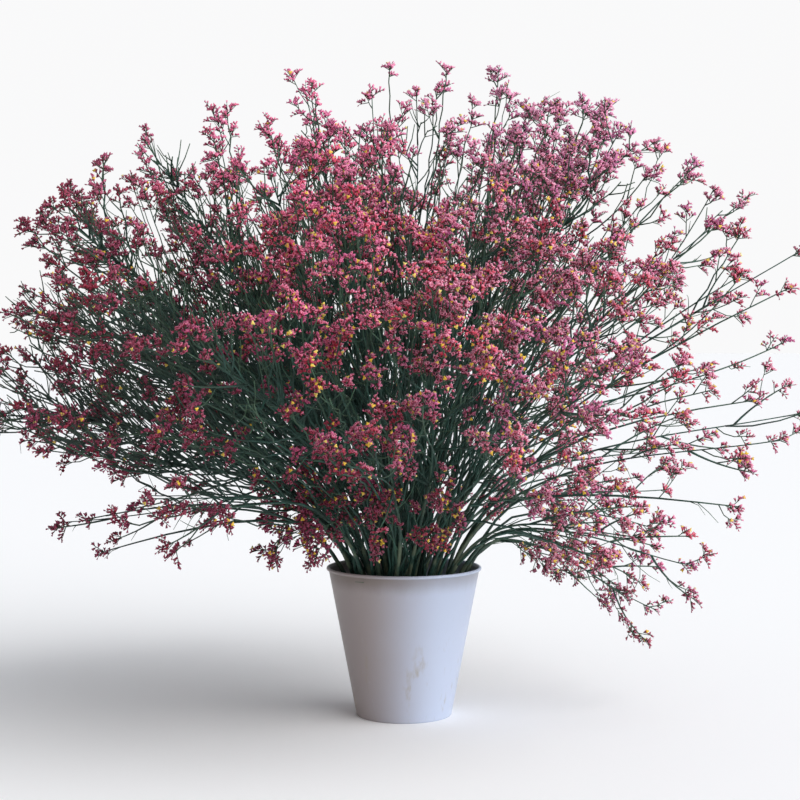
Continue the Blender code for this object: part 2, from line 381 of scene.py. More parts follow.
@dataclass(frozen=True)
class BucketFinish:
    """Cool white moulded plastic, stained low down, with painted shade on its left side and a
    painted shadow under the lip.
    """

    plastic: Colour = (0.50, 0.56, 0.70)
    # Painted shade: the darker, warmer grey of the bucket's shaded left side.
    painted_side_shade: Colour = (0.36, 0.31, 0.305)
    # Painted shadow: the dark grey-brown band under the lip, where the lip and the flowers above
    # shade the wall.
    painted_lip_shadow: Colour = (0.19, 0.155, 0.135)
    stain: Colour = (0.36, 0.31, 0.24)
    scuff: Colour = (0.40, 0.41, 0.44)
    side_shade_span: Pair = (0.050, -0.060)
    stain_height: Pair = (0.135, 0.055)
    lip_shadow_height: Pair = (0.162, 0.184)
    lip_height: Pair = (0.1855, 0.1870)

    def material(self) -> Any:
        """Makes the finish's material."""
        shader = Shader("bucket_plastic")
        place = shader.place()
        height, across = shader.part(place, "Z"), shader.part(place, "X")
        clouds = shader.noise(place, 9.0, 4.0)
        stain_and_shadow_noise = shader.noise(shader.place((1.0, 1.0, 0.35)), 34.0, 5.0, 0.62)
        scratches = shader.noise(shader.place((1.0, 1.0, 0.08)), 260.0, 3.0)
        # Painted shade: the bucket's left side turns a darker, warmer grey, as it would in shade
        # from the key light.
        swayed = across + (clouds - 0.5) * 0.02
        brown = 1.0 - swayed.between(self.side_shade_span[1], self.side_shade_span[0])
        body = shader.mix(brown.clamped(), self.plastic, self.painted_side_shade)
        low = (1.0 - height.between(self.stain_height[1], self.stain_height[0])).clamped()
        blotch = stain_and_shadow_noise.between(0.56, 0.70) * (low * 0.75 + 0.04)
        body = shader.mix(blotch, body, self.stain)
        body = shader.mix(scratches.between(0.62, 0.75) * (low * 0.30 + 0.08), body, self.scuff)
        # Painted shadow: a ragged dark band just under the lip, stronger on the shaded left.
        lip_shadow_mask = (height + (stain_and_shadow_noise - 0.5) * 0.010).between(*self.lip_shadow_height)
        lip_shadow_mask = lip_shadow_mask * (1.0 - height.between(*self.lip_height))
        colour = shader.mix(lip_shadow_mask * (brown * 0.45 + 0.45), body, self.painted_lip_shadow)
        return shader.surface(
            Base_Color=colour,
            Roughness=clouds * 0.22 + blotch * 0.25 + 0.30,
            Normal=shader.bump(clouds * 0.6 + stain_and_shadow_noise * 0.4, 0.12, 0.0015),
        )


@dataclass(frozen=True)
class FloorFinish:
    """Plain pale floor."""

    pale: Colour = (0.96, 0.96, 0.96)

    def material(self) -> Any:
        """Makes the finish's material."""
        shader = Shader("floor_pale")
        return shader.surface(Base_Color=self.pale, Roughness=0.9)


# Meshes


def deselect() -> None:
    """Leaves nothing selected."""
    bpy.ops.object.select_all(action="DESELECT")


def select_only(things: Sequence[Any]) -> None:
    """Selects these objects and makes the first one active."""
    deselect()
    for thing in things:
        thing.select_set(True)
    bpy.context.view_layer.objects.active = things[0]


@dataclass
class Template:
    """A small shape that is modelled once and stamped many times."""

    points: np.ndarray
    corners: np.ndarray
    sizes: np.ndarray
    along: np.ndarray
    unwrapped: np.ndarray

    @classmethod
    def from_funnel(cls, thing: Any, rim: float) -> "Template":
        """Reads a funnel about Z that stands on its point, and removes its object.

        Args:
            thing: The modelled mesh object.
            rim: The rim's place along the outline, which runs from 0 at the point to 1 at
                the throat.

        Returns:
            The template, unwrapped with the angle across and the outline up.
        """
        mesh = thing.data
        points = np.array([v.co for v in mesh.vertices], float)
        radius = np.hypot(points[:, 0], points[:, 1])
        middle = radius < 1e-4
        throat = points[:, 2] > points[middle, 2].mean()
        along = np.where(middle, throat, rim)
        turn = np.arctan2(points[:, 1], points[:, 0]) / (2.0 * math.pi) % 1.0
        corners, sizes, unwrapped = [], [], []
        for face in mesh.polygons:
            ring = [None if middle[v] else turn[v] for v in face.vertices]
            around = [t for t in ring if t is not None]
            if max(around) - min(around) > 0.5:
                ring = [t + 1.0 if t is not None and t < 0.5 else t for t in ring]
            mean = sum(t for t in ring if t is not None) / len(around)
            corners += list(face.vertices)
            sizes.append(len(face.vertices))
            unwrapped += [(mean if t is None else t, along[v]) for t, v in zip(ring, face.vertices)]
        bpy.data.objects.remove(thing)
        spread = np.array(unwrapped)
        spread[:, 0] = (spread[:, 0] - spread[:, 0].min()) / np.ptp(spread[:, 0])
        return cls(points, np.array(corners), np.array(sizes), along, spread)


@dataclass
class Stamp:
    """Places of one template's copies: base, way, roll, length, width and tint of each."""

    copies: list[tuple[Vector, Vector, float, float, float, float]] = field(default_factory=list)

    def build(self, name: str, template: Template) -> Any:
        """Makes all copies as one mesh object, each in its own cell of the bake's map.

        Args:
            name: The object's name.
            template: The shape to copy.

        Returns:
            The object.
        """
        bases, ways, rolls, lengths, widths, tints = (
            np.array(column, float) for column in zip(*self.copies)
        )
        count, each = len(bases), len(template.points)
        frames = scaled_frames(ways, rolls[:, None], lengths[:, None], widths[:, None])
        points = np.einsum("vk,nkj->nvj", template.points, frames) + bases[:, None, :]
        corners = template.corners[None, :] + each * np.arange(count)[:, None]
        sizes = np.tile(template.sizes, count)
        made = mesh_object(name, points.reshape(-1, 3), corners.ravel(), sizes)
        set_numbers(made, "along", np.tile(template.along, count))
        set_numbers(made, "tint", np.repeat(tints, each))
        columns = math.ceil(math.sqrt(count))
        cell = np.stack([np.arange(count) % columns, np.arange(count) // columns], axis=1)
        inset = CELL_MARGIN + (1.0 - 2 * CELL_MARGIN) * template.unwrapped
        unwrapped = (cell[:, None, :] + inset[None, :, :]) / columns
        set_bake_map(made, unwrapped.reshape(-1, 2))
        return made


def scaled_frames(
    ways: np.ndarray, rolls: np.ndarray, lengths: np.ndarray, widths: np.ndarray
) -> np.ndarray:
    """A frame for each way, with Z along it, turned about it by its roll and scaled.

    Args:
        ways: The directions, one a row.
        rolls: The angles about them, one a row.
        lengths: The scales along them, one a row.
        widths: The scales across them, one a row.

    Returns:
        The X, Y and Z directions of each frame, as 3 by 3 matrices.
    """
    forward = ways / np.linalg.norm(ways, axis=1, keepdims=True)
    helper = np.where(np.abs(forward[:, 2:3]) < 0.9, [[0.0, 0.0, 1.0]], [[1.0, 0.0, 0.0]])
    across = np.cross(helper, forward)
    across /= np.linalg.norm(across, axis=1, keepdims=True)
    other = np.cross(forward, across)
    side = across * np.cos(rolls) + other * np.sin(rolls)
    rest = other * np.cos(rolls) - across * np.sin(rolls)
    return np.stack([side * widths, rest * widths, forward * lengths], axis=1)


def mesh_object(name: str, points: np.ndarray, corners: np.ndarray, sizes: np.ndarray) -> Any:
    """A flat-shaded mesh object from points and faces.

    Args:
        name: The object's name.
        points: The points.
        corners: Point numbers of every face's corners, face after face.
        sizes: How many corners each face has.

    Returns:
        The object, linked to the scene.
    """
    mesh = bpy.data.meshes.new(name)
    mesh.vertices.add(len(points))
    mesh.vertices.foreach_set("co", points.astype(np.float32).ravel())
    mesh.loops.add(len(corners))
    mesh.loops.foreach_set("vertex_index", corners.astype(np.int32))
    mesh.polygons.add(len(sizes))
    starts = np.concatenate([[0], np.cumsum(sizes)[:-1]])
    mesh.polygons.foreach_set("loop_start", starts.astype(np.int32))
    mesh.update(calc_edges=True)
    made = bpy.data.objects.new(name, mesh)
    bpy.context.scene.collection.objects.link(made)
    return made


def set_numbers(thing: Any, name: str, numbers: np.ndarray) -> None:
    """Stores one number for each point."""
    layer = thing.data.attributes.new(name, "FLOAT", "POINT")
    layer.data.foreach_set("value", np.asarray(numbers, np.float32))


def set_bake_map(thing: Any, places: np.ndarray) -> None:
    """Stores the map that a bake of the piece's colours uses."""
    layer = thing.data.uv_layers.get("OFBake") or thing.data.uv_layers.new(name="OFBake")
    layer.data.foreach_set("uv", np.asarray(places, np.float32).ravel())
    thing.data.uv_layers.active = layer


def funnel(sides: int, radius: float) -> Any:
    """A cone of unit height that stands on its point, with a fan of faces over its mouth."""
    deselect()
    bpy.ops.mesh.primitive_cone_add(
        vertices=sides,
        radius1=0.0,
        radius2=radius,
        depth=1.0,
        end_fill_type="TRIFAN",
        location=(0, 0, 0),
    )
    cone = bpy.context.object
    cone.data.transform(Matrix.Translation((0, 0, 0.5)))
    return cone


def cup_template() -> Template:
    """The calyx: a slim five-sided funnel with a torn mouth and a sunk throat."""
    throat, foot = 0.55, -0.10
    teeth = iter(((1.30, 1.06), (0.72, 0.86), (1.18, 1.10), (0.66, 0.84), (1.05, 0.98)))
    cup = funnel(5, 0.5)
    for point in cup.data.vertices:
        if point.co.xy.length < NEAR_AXIS:
            point.co.z = throat if point.co.z > 0.5 else foot
        else:
            wider, higher = next(teeth)
            point.co = Vector((point.co.x * wider, point.co.y * wider, point.co.z * higher))
    return Template.from_funnel(cup, 0.7)


def flower_template() -> Template:
    """The corolla: a shallow five-petalled star on a short point."""
    throat, notch_radius, notch_height = 0.55, 0.52, 0.80
    flower = funnel(10, 1.0)
    for point in flower.data.vertices:
        if point.co.xy.length < NEAR_AXIS:
            point.co.z *= throat
        elif round(math.atan2(point.co.y, point.co.x) / (math.pi / 5.0)) % 2:
            point.co.xy *= notch_radius
            point.co.z *= notch_height
    return Template.from_funnel(flower, 0.5)


@dataclass
class Tube:
    """One stem or twig: its centreline, its radii and how old its wood is, 0 to 1."""

    points: Sequence[Vector]
    radii: Sequence[float]
    youth: Pair

    def length(self) -> float:
        """The centreline's length."""
        return path_length(self.points)


def tubes_object(name: str, tubes: Sequence[Tube], level: int, rows: "MapRows") -> Any:
    """Draws tubes as one bevelled curve and turns it into a mesh.

    Args:
        name: The object's name.
        tubes: The tubes.
        level: The curve's bevel resolution; a tube gets 4 sides and 2 more for each level.
        rows: The rows of the bake's map, where each tube gets a stretch.

    Returns:
        The mesh object, with the bake's map and the attribute "age".
    """
    sides = 4 + 2 * level
    curve = bpy.data.curves.new(name, "CURVE")
    curve.dimensions = "3D"
    curve.bevel_depth = 1.0
    curve.bevel_resolution = level
    curve.use_fill_caps = True
    for tube in tubes:
        spline = curve.splines.new("POLY")
        spline.points.add(len(tube.points) - 1)
        spline.points.foreach_set("co", np.array([(*p, 1.0) for p in tube.points], float).ravel())
        spline.points.foreach_set("radius", np.array(tube.radii, float))
    drawn = bpy.data.objects.new(name, curve)
    bpy.context.scene.collection.objects.link(drawn)
    select_only([drawn])
    bpy.ops.object.convert(target="MESH")
    mesh = drawn.data
    mesh.uv_layers[0].name = "OFBake"
    places = np.empty(len(mesh.loops) * 2, np.float32)
    mesh.uv_layers[0].data.foreach_get("uv", places)
    places = places.reshape(-1, 2)

    # The converted mesh lists each tube's two caps, last tube first, and then the walls.
    ages, cap_ages = [], []
    cap_corners = 2 * 3 * (sides - 2)
    corner = cap_corners * len(tubes)
    for k, tube in enumerate(tubes):
        left, low, wide, high = rows.stretch(tube.length())
        first = cap_corners * (len(tubes) - 1 - k)
        cap = np.arange(first, first + cap_corners)
        turn = 2.0 * math.pi * places[cap, 0]
        places[cap, 0] = left + wide * (CAP_CENTRE[0] + CAP_RADII[0] * np.cos(turn))
        places[cap, 1] = low + high * (CAP_CENTRE[1] + CAP_RADII[1] * np.sin(turn))
        wall = np.arange(corner, corner + 4 * sides * (len(tube.points) - 1))
        corner = int(wall[-1]) + 1
        places[wall, 0] = left + wide * (WALL_START[0] + WALL_SIZE[0] * places[wall, 0])
        places[wall, 1] = low + high * (WALL_START[1] + WALL_SIZE[1] * places[wall, 1])
        along = np.linspace(*tube.youth, len(tube.points))
        ages.append(np.repeat(along, sides))
        cap_ages.append(np.repeat([along[-1], along[0]], sides))
    mesh.uv_layers[0].data.foreach_set("uv", places.ravel())
    set_numbers(drawn, "age", np.concatenate([*reversed(cap_ages), *ages]))
    bpy.ops.object.mode_set(mode="EDIT")
    bpy.ops.mesh.select_all(action="SELECT")
    bpy.ops.mesh.remove_doubles(threshold=0.000002)
    bpy.ops.mesh.normals_make_consistent(inside=False)
    bpy.ops.object.mode_set(mode="OBJECT")
    mesh.shade_smooth()
    return drawn


class MapRows:
    """Hands out stretches of a square map's rows, as long as each tube needs."""

    def __init__(self, lengths: Iterable[float], spare: float = 1.12) -> None:
        """Picks the number of rows that holds tubes of these lengths.

        Args:
            lengths: Every tube's length.
            spare: How much more than the tubes' total the rows hold.
        """
        lengths = [*lengths]
        longest = max(lengths)
        total = sum(max(s, SHORTEST_STRETCH) for s in lengths)
        self.rows = max(2, math.ceil(total * spare / longest) + 1)
        self.scale = 1.0 / longest
        self.row, self.used = 0, 0.0

    def stretch(self, length: float) -> tuple[float, float, float, float]:
        """The next stretch, as left, low, width and height on the map."""
        wide = min(1.0, max(length, SHORTEST_STRETCH) * self.scale)
        if self.used + wide > 1.0 + 1e-6:
            self.row, self.used = self.row + 1, 0.0
        left = self.used
        self.used += wide
        return left, min(self.row, self.rows - 1) / self.rows, wide, 1.0 / self.rows


# The bunch's layout, which the solid model shares


@dataclass(frozen=True)
class BunchLayout:
    """Where each stem of the bunch runs, by the solid model's own rules and draws."""

    bucket_height: float = BUCKET_HEIGHT
    floor_top: float = BUCKET_FLOOR
    stem_count: int = 46
    bunch_turn: float = 0.35
    foot_spread: float = 0.046
    mouth_spread: float = 0.0875
    spiral_twist: float = math.radians(58)
    seat_gap: float = 0.0003
    stem_radius: float = 0.0028
    stem_steps: int = 40
    stem_pull: float = 0.38
    sway: Pair = (0.003, 0.007)
    sway_turns: float = 9.0
    sway_gain: float = 3.0
    azimuth_jitter: float = 0.06
    tilt_jitter: Pair = (0.97, 1.02)
    reach_jitter: Pair = (0.93, 1.0)
    left_tilt: float = math.radians(90)
    right_tilt: float = math.radians(107)
    depth_tilt: float = math.radians(76)
    over_tilt: float = 1.13
    depth_share: float = 0.80
    reach_tilts: tuple[float, ...] = (0.0, 30.0, 45.0, 60.0, 68.0, 76.0, 86.0, 96.0, 107.0)
    reach_left: tuple[float, ...] = (0.620, 0.635, 0.645, 0.630, 0.590, 0.545, 0.430, 0.310, 0.240)
    reach_right: tuple[float, ...] = (0.620, 0.640, 0.670, 0.640, 0.595, 0.430, 0.380, 0.365, 0.340)
    forks: tuple[tuple[float, float, float], ...] = ((0.04, 0.86, 13.0), (0.24, 0.64, 21.0))
    sides: tuple[tuple[float, float, float], ...] = (
        (0.50, 0.130, 44.0),
        (0.67, 0.105, 46.0),
        (0.83, 0.080, 42.0),
    )
    longest_side: float = 0.15
    place_jitter: float = 0.03
    length_jitter: Pair = (0.88, 1.06)
    angle_jitter: Pair = (0.85, 1.15)
    straightening: float = 0.55
    branch_steps: int = 12
    apart: float = 2 * 0.0027 + 0.0015
    own_apart: float = 1.2 * 0.0027
    joint_points: int = 12
    stem_turn: float = 0.3
    try_turn: float = 0.37
    try_shrink: float = 0.03
    placing_tries: int = 16
    seed: int = 11

    def direction(self, tilt: float, azimuth: float) -> Vector:
        """The unit vector with this lean from upright, towards this azimuth."""
        side = math.sin(tilt)
        return Vector((side * math.cos(azimuth), side * math.sin(azimuth), math.cos(tilt)))

    def tilt_at(self, share: float, azimuth: float) -> float:
        """How far a stem leans from upright, by its share of the bunch's radius."""
        side = self.right_tilt if math.cos(azimuth) > 0.0 else self.left_tilt
        widest = self.depth_tilt + (side - self.depth_tilt) * math.cos(azimuth) ** 4
        return math.acos(1.0 - share**2 * (1.0 - math.cos(widest)))

    def reach_at(self, tilt: float, azimuth: float) -> float:
        """How far a head with this lean reaches from the mouth's centre."""
        degrees = math.degrees(tilt)
        left = float(np.interp(degrees, self.reach_tilts, self.reach_left))
        right = float(np.interp(degrees, self.reach_tilts, self.reach_right))
        reach = left + (right - left) * (0.5 + 0.5 * math.cos(azimuth))
        return reach * (1.0 - (1.0 - self.depth_share) * (math.sin(azimuth) * math.sin(tilt)) ** 2)

    def stem_path(self, index: int, dice: random.Random) -> list[Vector]:
        """A stem's centreline, from its cut foot to the tip of its head, as fine points."""
        share = math.sqrt((index + 0.5) / self.stem_count)
        angle = index * GOLDEN_ANGLE + self.bunch_turn
        foot = self.foot_spread * share * cmath.exp(1j * (angle - self.spiral_twist))
        mouth = self.mouth_spread * share * cmath.exp(1j * (angle + self.spiral_twist))
        slope = math.atan2(abs(mouth - foot), self.bucket_height)
        lowest = self.floor_top + self.seat_gap + self.stem_radius * math.sin(slope)
        start = Vector((foot.real, foot.imag, lowest))
        rim = Vector((mouth.real, mouth.imag, self.bucket_height))
        leaving = (rim - start).normalized()

        jitter = self.azimuth_jitter
        azimuth = angle + self.spiral_twist + dice.uniform(-jitter, jitter)
        tilt = self.tilt_at(share, azimuth) * dice.uniform(*self.tilt_jitter)
        reach = self.reach_at(tilt, azimuth) * dice.uniform(*self.reach_jitter)
        tip = Vector((0.0, 0.0, self.bucket_height)) + self.direction(tilt, azimuth) * reach
        arriving = self.direction(tilt * self.over_tilt, azimuth)
        pull = (tip - rim).length * self.stem_pull
        bends = (rim, rim + leaving * pull, tip - arriving * pull, tip)

        sway = self.direction(math.pi / 2, dice.uniform(0.0, 2 * math.pi))
        sway = sway * dice.uniform(*self.sway)
        phase = dice.uniform(0.0, 2 * math.pi)
        points = [start]
        for k in range(self.stem_steps + 1):
            t = k / self.stem_steps
            weights = ((1 - t) ** 3, 3 * t * (1 - t) ** 2, 3 * t**2 * (1 - t), t**3)
            place = sum((w * b for w, b in zip(weights, bends)), Vector())
            swing = math.sin(phase + self.sway_turns * t) * min(1.0, self.sway_gain * t)
            points.append(place + sway * swing)
        points[1] = rim
        return points

    def branch_path(
        self, points: Sequence[Vector], at: int, roll: float, angle: float, length: float
    ) -> list[Vector]:
        """A branch that leaves the stem at a fine point, then bends back to run beside it."""
        stem_step = (points[-1] - points[-2]).length
        path = [points[at]]
        across = None
        for k in range(self.branch_steps):
            along = k / self.branch_steps
            beside = min(len(points) - 2, at + int(along * length / stem_step))
            ahead = (points[beside + 1] - points[beside]).normalized()
            if across is None:
                across = Matrix.Rotation(roll, 3, ahead) @ ahead.orthogonal().normalized()
            across = (across - ahead * across.dot(ahead)).normalized()
            lean = angle * (1.0 - self.straightening * along)
            way = ahead * math.cos(lean) + across * math.sin(lean)
            path.append(path[-1] + way * (length / self.branch_steps))
        return path

    def branch_plan(
        self, stem_length: float, dice: random.Random
    ) -> list[tuple[int, float, float]]:
        """(fine point, length, angle) of each branch of a stem, from the mouth upwards."""
        jitter = self.place_jitter
        plan = [(along, share * stem_length, angle) for along, share, angle in self.forks]
        return [
            (
                1 + round((along + dice.uniform(-jitter, jitter)) * self.stem_steps),
                length * dice.uniform(*self.length_jitter),
                math.radians(angle) * dice.uniform(*self.angle_jitter),
            )
            for along, length, angle in (*plan, *self.sides)
        ]

    def grow(self) -> list[tuple[list[Vector], list[list[Vector]]]]:
        """Every stem's fine centreline and its branches', none touching another stem."""
        dice = random.Random(self.seed)
        stems = [self.stem_path(i, dice) for i in range(self.stem_count)]
        taken = [filled_in(points) for points in stems]
        grown = []
        for i, points in enumerate(stems):
            others = np.concatenate([t for k, t in enumerate(taken) if k != i])
            stem_length = path_length(points[1:])
            branches = []
            for b, (at, length, angle) in enumerate(self.branch_plan(stem_length, dice)):
                for attempt in range(self.placing_tries):
                    roll = (b + self.stem_turn * i + self.try_turn * attempt) * GOLDEN_ANGLE
                    size = length * (1.0 - self.try_shrink * attempt)
                    path = self.branch_path(points, at, roll, angle, size)
                    fine = filled_in(path)
                    own = gap_between(fine[self.joint_points :], taken[i])
                    if gap_between(fine, others) > self.apart and own > self.own_apart:
                        branches.append(path)
                        taken[i] = np.concatenate([taken[i], fine])
                        break
            grown.append((points, branches))
        return grown


def path_length(path: Sequence[Vector]) -> float:
    """The length of a line through points."""
    return sum((b - a).length for a, b in zip(path, path[1:]))


def filled_in(path: Sequence[Vector], spacing: float = 0.003) -> np.ndarray:
    """The path's points and more between them, at most the spacing apart."""
    points = [path[0]]
    for a, b in zip(path, path[1:]):
        parts = max(1, math.ceil((b - a).length / spacing))
        points += [a.lerp(b, (k + 1) / parts) for k in range(parts)]
    return np.array(points, float)


def gap_between(some: np.ndarray, others: np.ndarray, near: float = 0.02) -> float:
    """The shortest distance between two sets of points, or 1 if none are near."""
    close = others[((others > some.min(0) - near) & (others < some.max(0) + near)).all(axis=1)]
    if not len(close):
        return 1.0
    return float(np.linalg.norm(some[:, None, :] - close[None, :, :], axis=2).min())


# Growth of one flowering stem


@dataclass(frozen=True)
class Wood:
    """A kind of branch: its first and last radius, and how young its two ends are, 0 to 1."""

    radii: Pair
    youth: Pair


@dataclass(frozen=True)
class Twigs:
    """A row of short twigs: how many, where on their branch and how long.

    The places are shares of the branch's length. Flowering twigs run evenly from the first
    place and length to the last, and bare ones take any between.
    """

    count: int
    places: Pair
    lengths: Pair


@dataclass(frozen=True)
class Shoots:
    """A kind of long branch: how many, where they leave, how they lean, length and radii.

    The places are shares of the parent's length, and the lengths are shares of what is
    left of the parent beyond that place. The last two count the flowering and the bare
    twigs on each.
    """

    count: int
    places: Pair
    lean: Pair
    lengths: Pair
    radii: Pair
    twigs: int
    bare: int


@dataclass(frozen=True)
class Habit:
    """How statice branches and flowers, in metres and radians."""

    head_radius: float = 0.0007
    stem_youth: Pair = (0.0, 0.7)
    fork: Wood = Wood((0.0020, 0.0007), (0.25, 0.8))
    branch: Wood = Wood((0.0014, 0.0007), (0.5, 0.9))
    twig: Wood = Wood((0.00085, 0.00055), (0.7, 1.0))
    small_twig: Wood = Wood((0.00055, 0.00055), (0.8, 1.0))
    bare_twig: Wood = Wood((0.00055, 0.000275), (0.8, 1.0))
    hanging: Wood = Wood((0.00085, 0.00055), (0.8, 1.0))
    spine: Wood = Wood((0.00060, 0.00040), (0.85, 1.0))

    low: Shoots = Shoots(1, (0.12, 0.235), (0.06, 0.16), (0.82, 0.98), (0.0019, 0.0008), 2, 4)
    high: Shoots = Shoots(4, (0.27, 0.62), (0.35, 0.75), (0.60, 1.00), (0.0014, 0.0008), 2, 3)
    outer: Shoots = Shoots(7, (0.50, 0.92), (0.50, 1.00), (0.45, 1.00), (0.0011, 0.0007), 2, 1)
    leafy: Shoots = Shoots(30, (0.40, 0.95), (0.55, 1.15), (0.55, 1.10), (0.0014, 0.0007), 1, 1)
    parent_points: int = 60
    shoot_youth: Pair = (0.3, 0.9)
    least_shoot: float = 0.02
    shoot_flowering: float = 0.8
    shoot_step: float = 0.026
    shoot_straightening: float = 0.5
    shoot_rise: float = 0.15
    shoot_zigzag: Pair = (0.05, 0.36)
    free_step: float = 0.018
    free_rise: float = 0.07
    free_spread: float = 0.08
    free_zigzag: Pair = (0.05, 0.28)
    box_reach: float = 0.024
    overreach: float = 0.012
    dome_from: float = 0.5
    stub: float = 0.1

    head_twigs: Twigs = Twigs(4, (0.48, 0.965), (0.090, 0.036))
    fork_twigs: Twigs = Twigs(2, (0.66, 0.92), (0.054, 0.030))
    side_twigs: Twigs = Twigs(1, (0.50, 0.75), (0.040, 0.030))
    shoot_twigs: Twigs = Twigs(2, (0.76, 0.95), (0.038, 0.018))
    hanging_twigs: Twigs = Twigs(3, (0.50, 0.85), (0.034, 0.022))
    head_bare: Twigs = Twigs(6, (0.10, 0.85), (0.020, 0.070))
    low_head_bare: Twigs = Twigs(3, (0.10, 0.85), (0.020, 0.070))
    fork_bare: Twigs = Twigs(3, (0.20, 0.90), (0.012, 0.040))
    side_bare: Twigs = Twigs(1, (0.25, 0.70), (0.010, 0.024))
    shoot_bare: Twigs = Twigs(1, (0.25, 0.90), (0.012, 0.045))
    low_head: float = 0.42

    twig_lean: Pair = (0.50, 0.95)
    twig_step: float = 0.017
    twig_lengths: Pair = (0.75, 1.2)
    twig_place_jitter: float = 0.03
    twig_turn_jitter: float = 0.3
    twig_rise: float = 0.45
    twig_straightening: float = 0.4
    twig_twist: float = 4.0
    twig_wobble: float = 0.25
    wobble_turn: float = 9.0
    wobble_lean: float = 1.3
    wobble_share: float = 0.3
    forking_length: float = 0.052
    fork_places: Pair = (0.40, 0.62)
    fork_turn: float = 1.7
    small_lengths: Pair = (0.022, 0.038)
    bare_lean: Pair = (0.5, 1.0)
    bare_curl: Pair = (0.1, 0.45)
    bare_step: float = 0.016

    hanging_tilt: float = 0.60
    hanging_front: float = 0.6
    hanging_counts: tuple[int, int] = (3, 1)
    hanging_first: float = 0.05
    hanging_last: Pair = (0.42, 0.20)
    hanging_lean: Pair = (0.4, 0.8)
    hanging_lengths: Pair = (0.07, 0.13)
    hanging_steps: int = 8
    droop: float = 0.80
    droop_power: float = 1.3
    hanging_outward: float = 0.35

    spikes: tuple[int, ...] = (3, 4, 4, 5)
    spike_length: Pair = (0.006, 0.012)
    first_spike_lean: Pair = (0.0, 0.3)
    spike_lean: Pair = (0.50, 1.05)
    spike_gap: Pair = (0.002, 0.006)
    spike_turn: float = math.pi * 0.72
    spike_turn_jitter: float = 0.5
    spike_arch: Pair = (0.1, 0.8)
    spike_rise: float = 0.7
    spike_spread: float = 0.5
    spike_scatter: float = 0.6
    pedicel: Pair = (0.001, 0.007)

    cup_spacing: float = 0.0020
    cup_length: float = 0.0063
    cup_width: float = 0.0047
    cup_forward: float = 0.50
    cup_upward: float = 0.50
    cup_sideways: float = 0.60
    cup_scatter: float = 0.35
    cup_sizes: Pair = (0.80, 1.12)
    cup_openness: Pair = (0.75, 1.15)
    youngest_shrink: float = 0.30
    shrink_power: float = 2.5
    youngest_closing: float = 0.25
    closing_power: int = 2
    spray_tint: float = 0.65
    stem_tint: float = 0.12
    last_flower: float = 0.8
    flower_seat: float = 0.78
    flower_sizes: Pair = (0.8, 1.15)
    flower_width: float = 0.0025
    flower_length: float = 0.0027


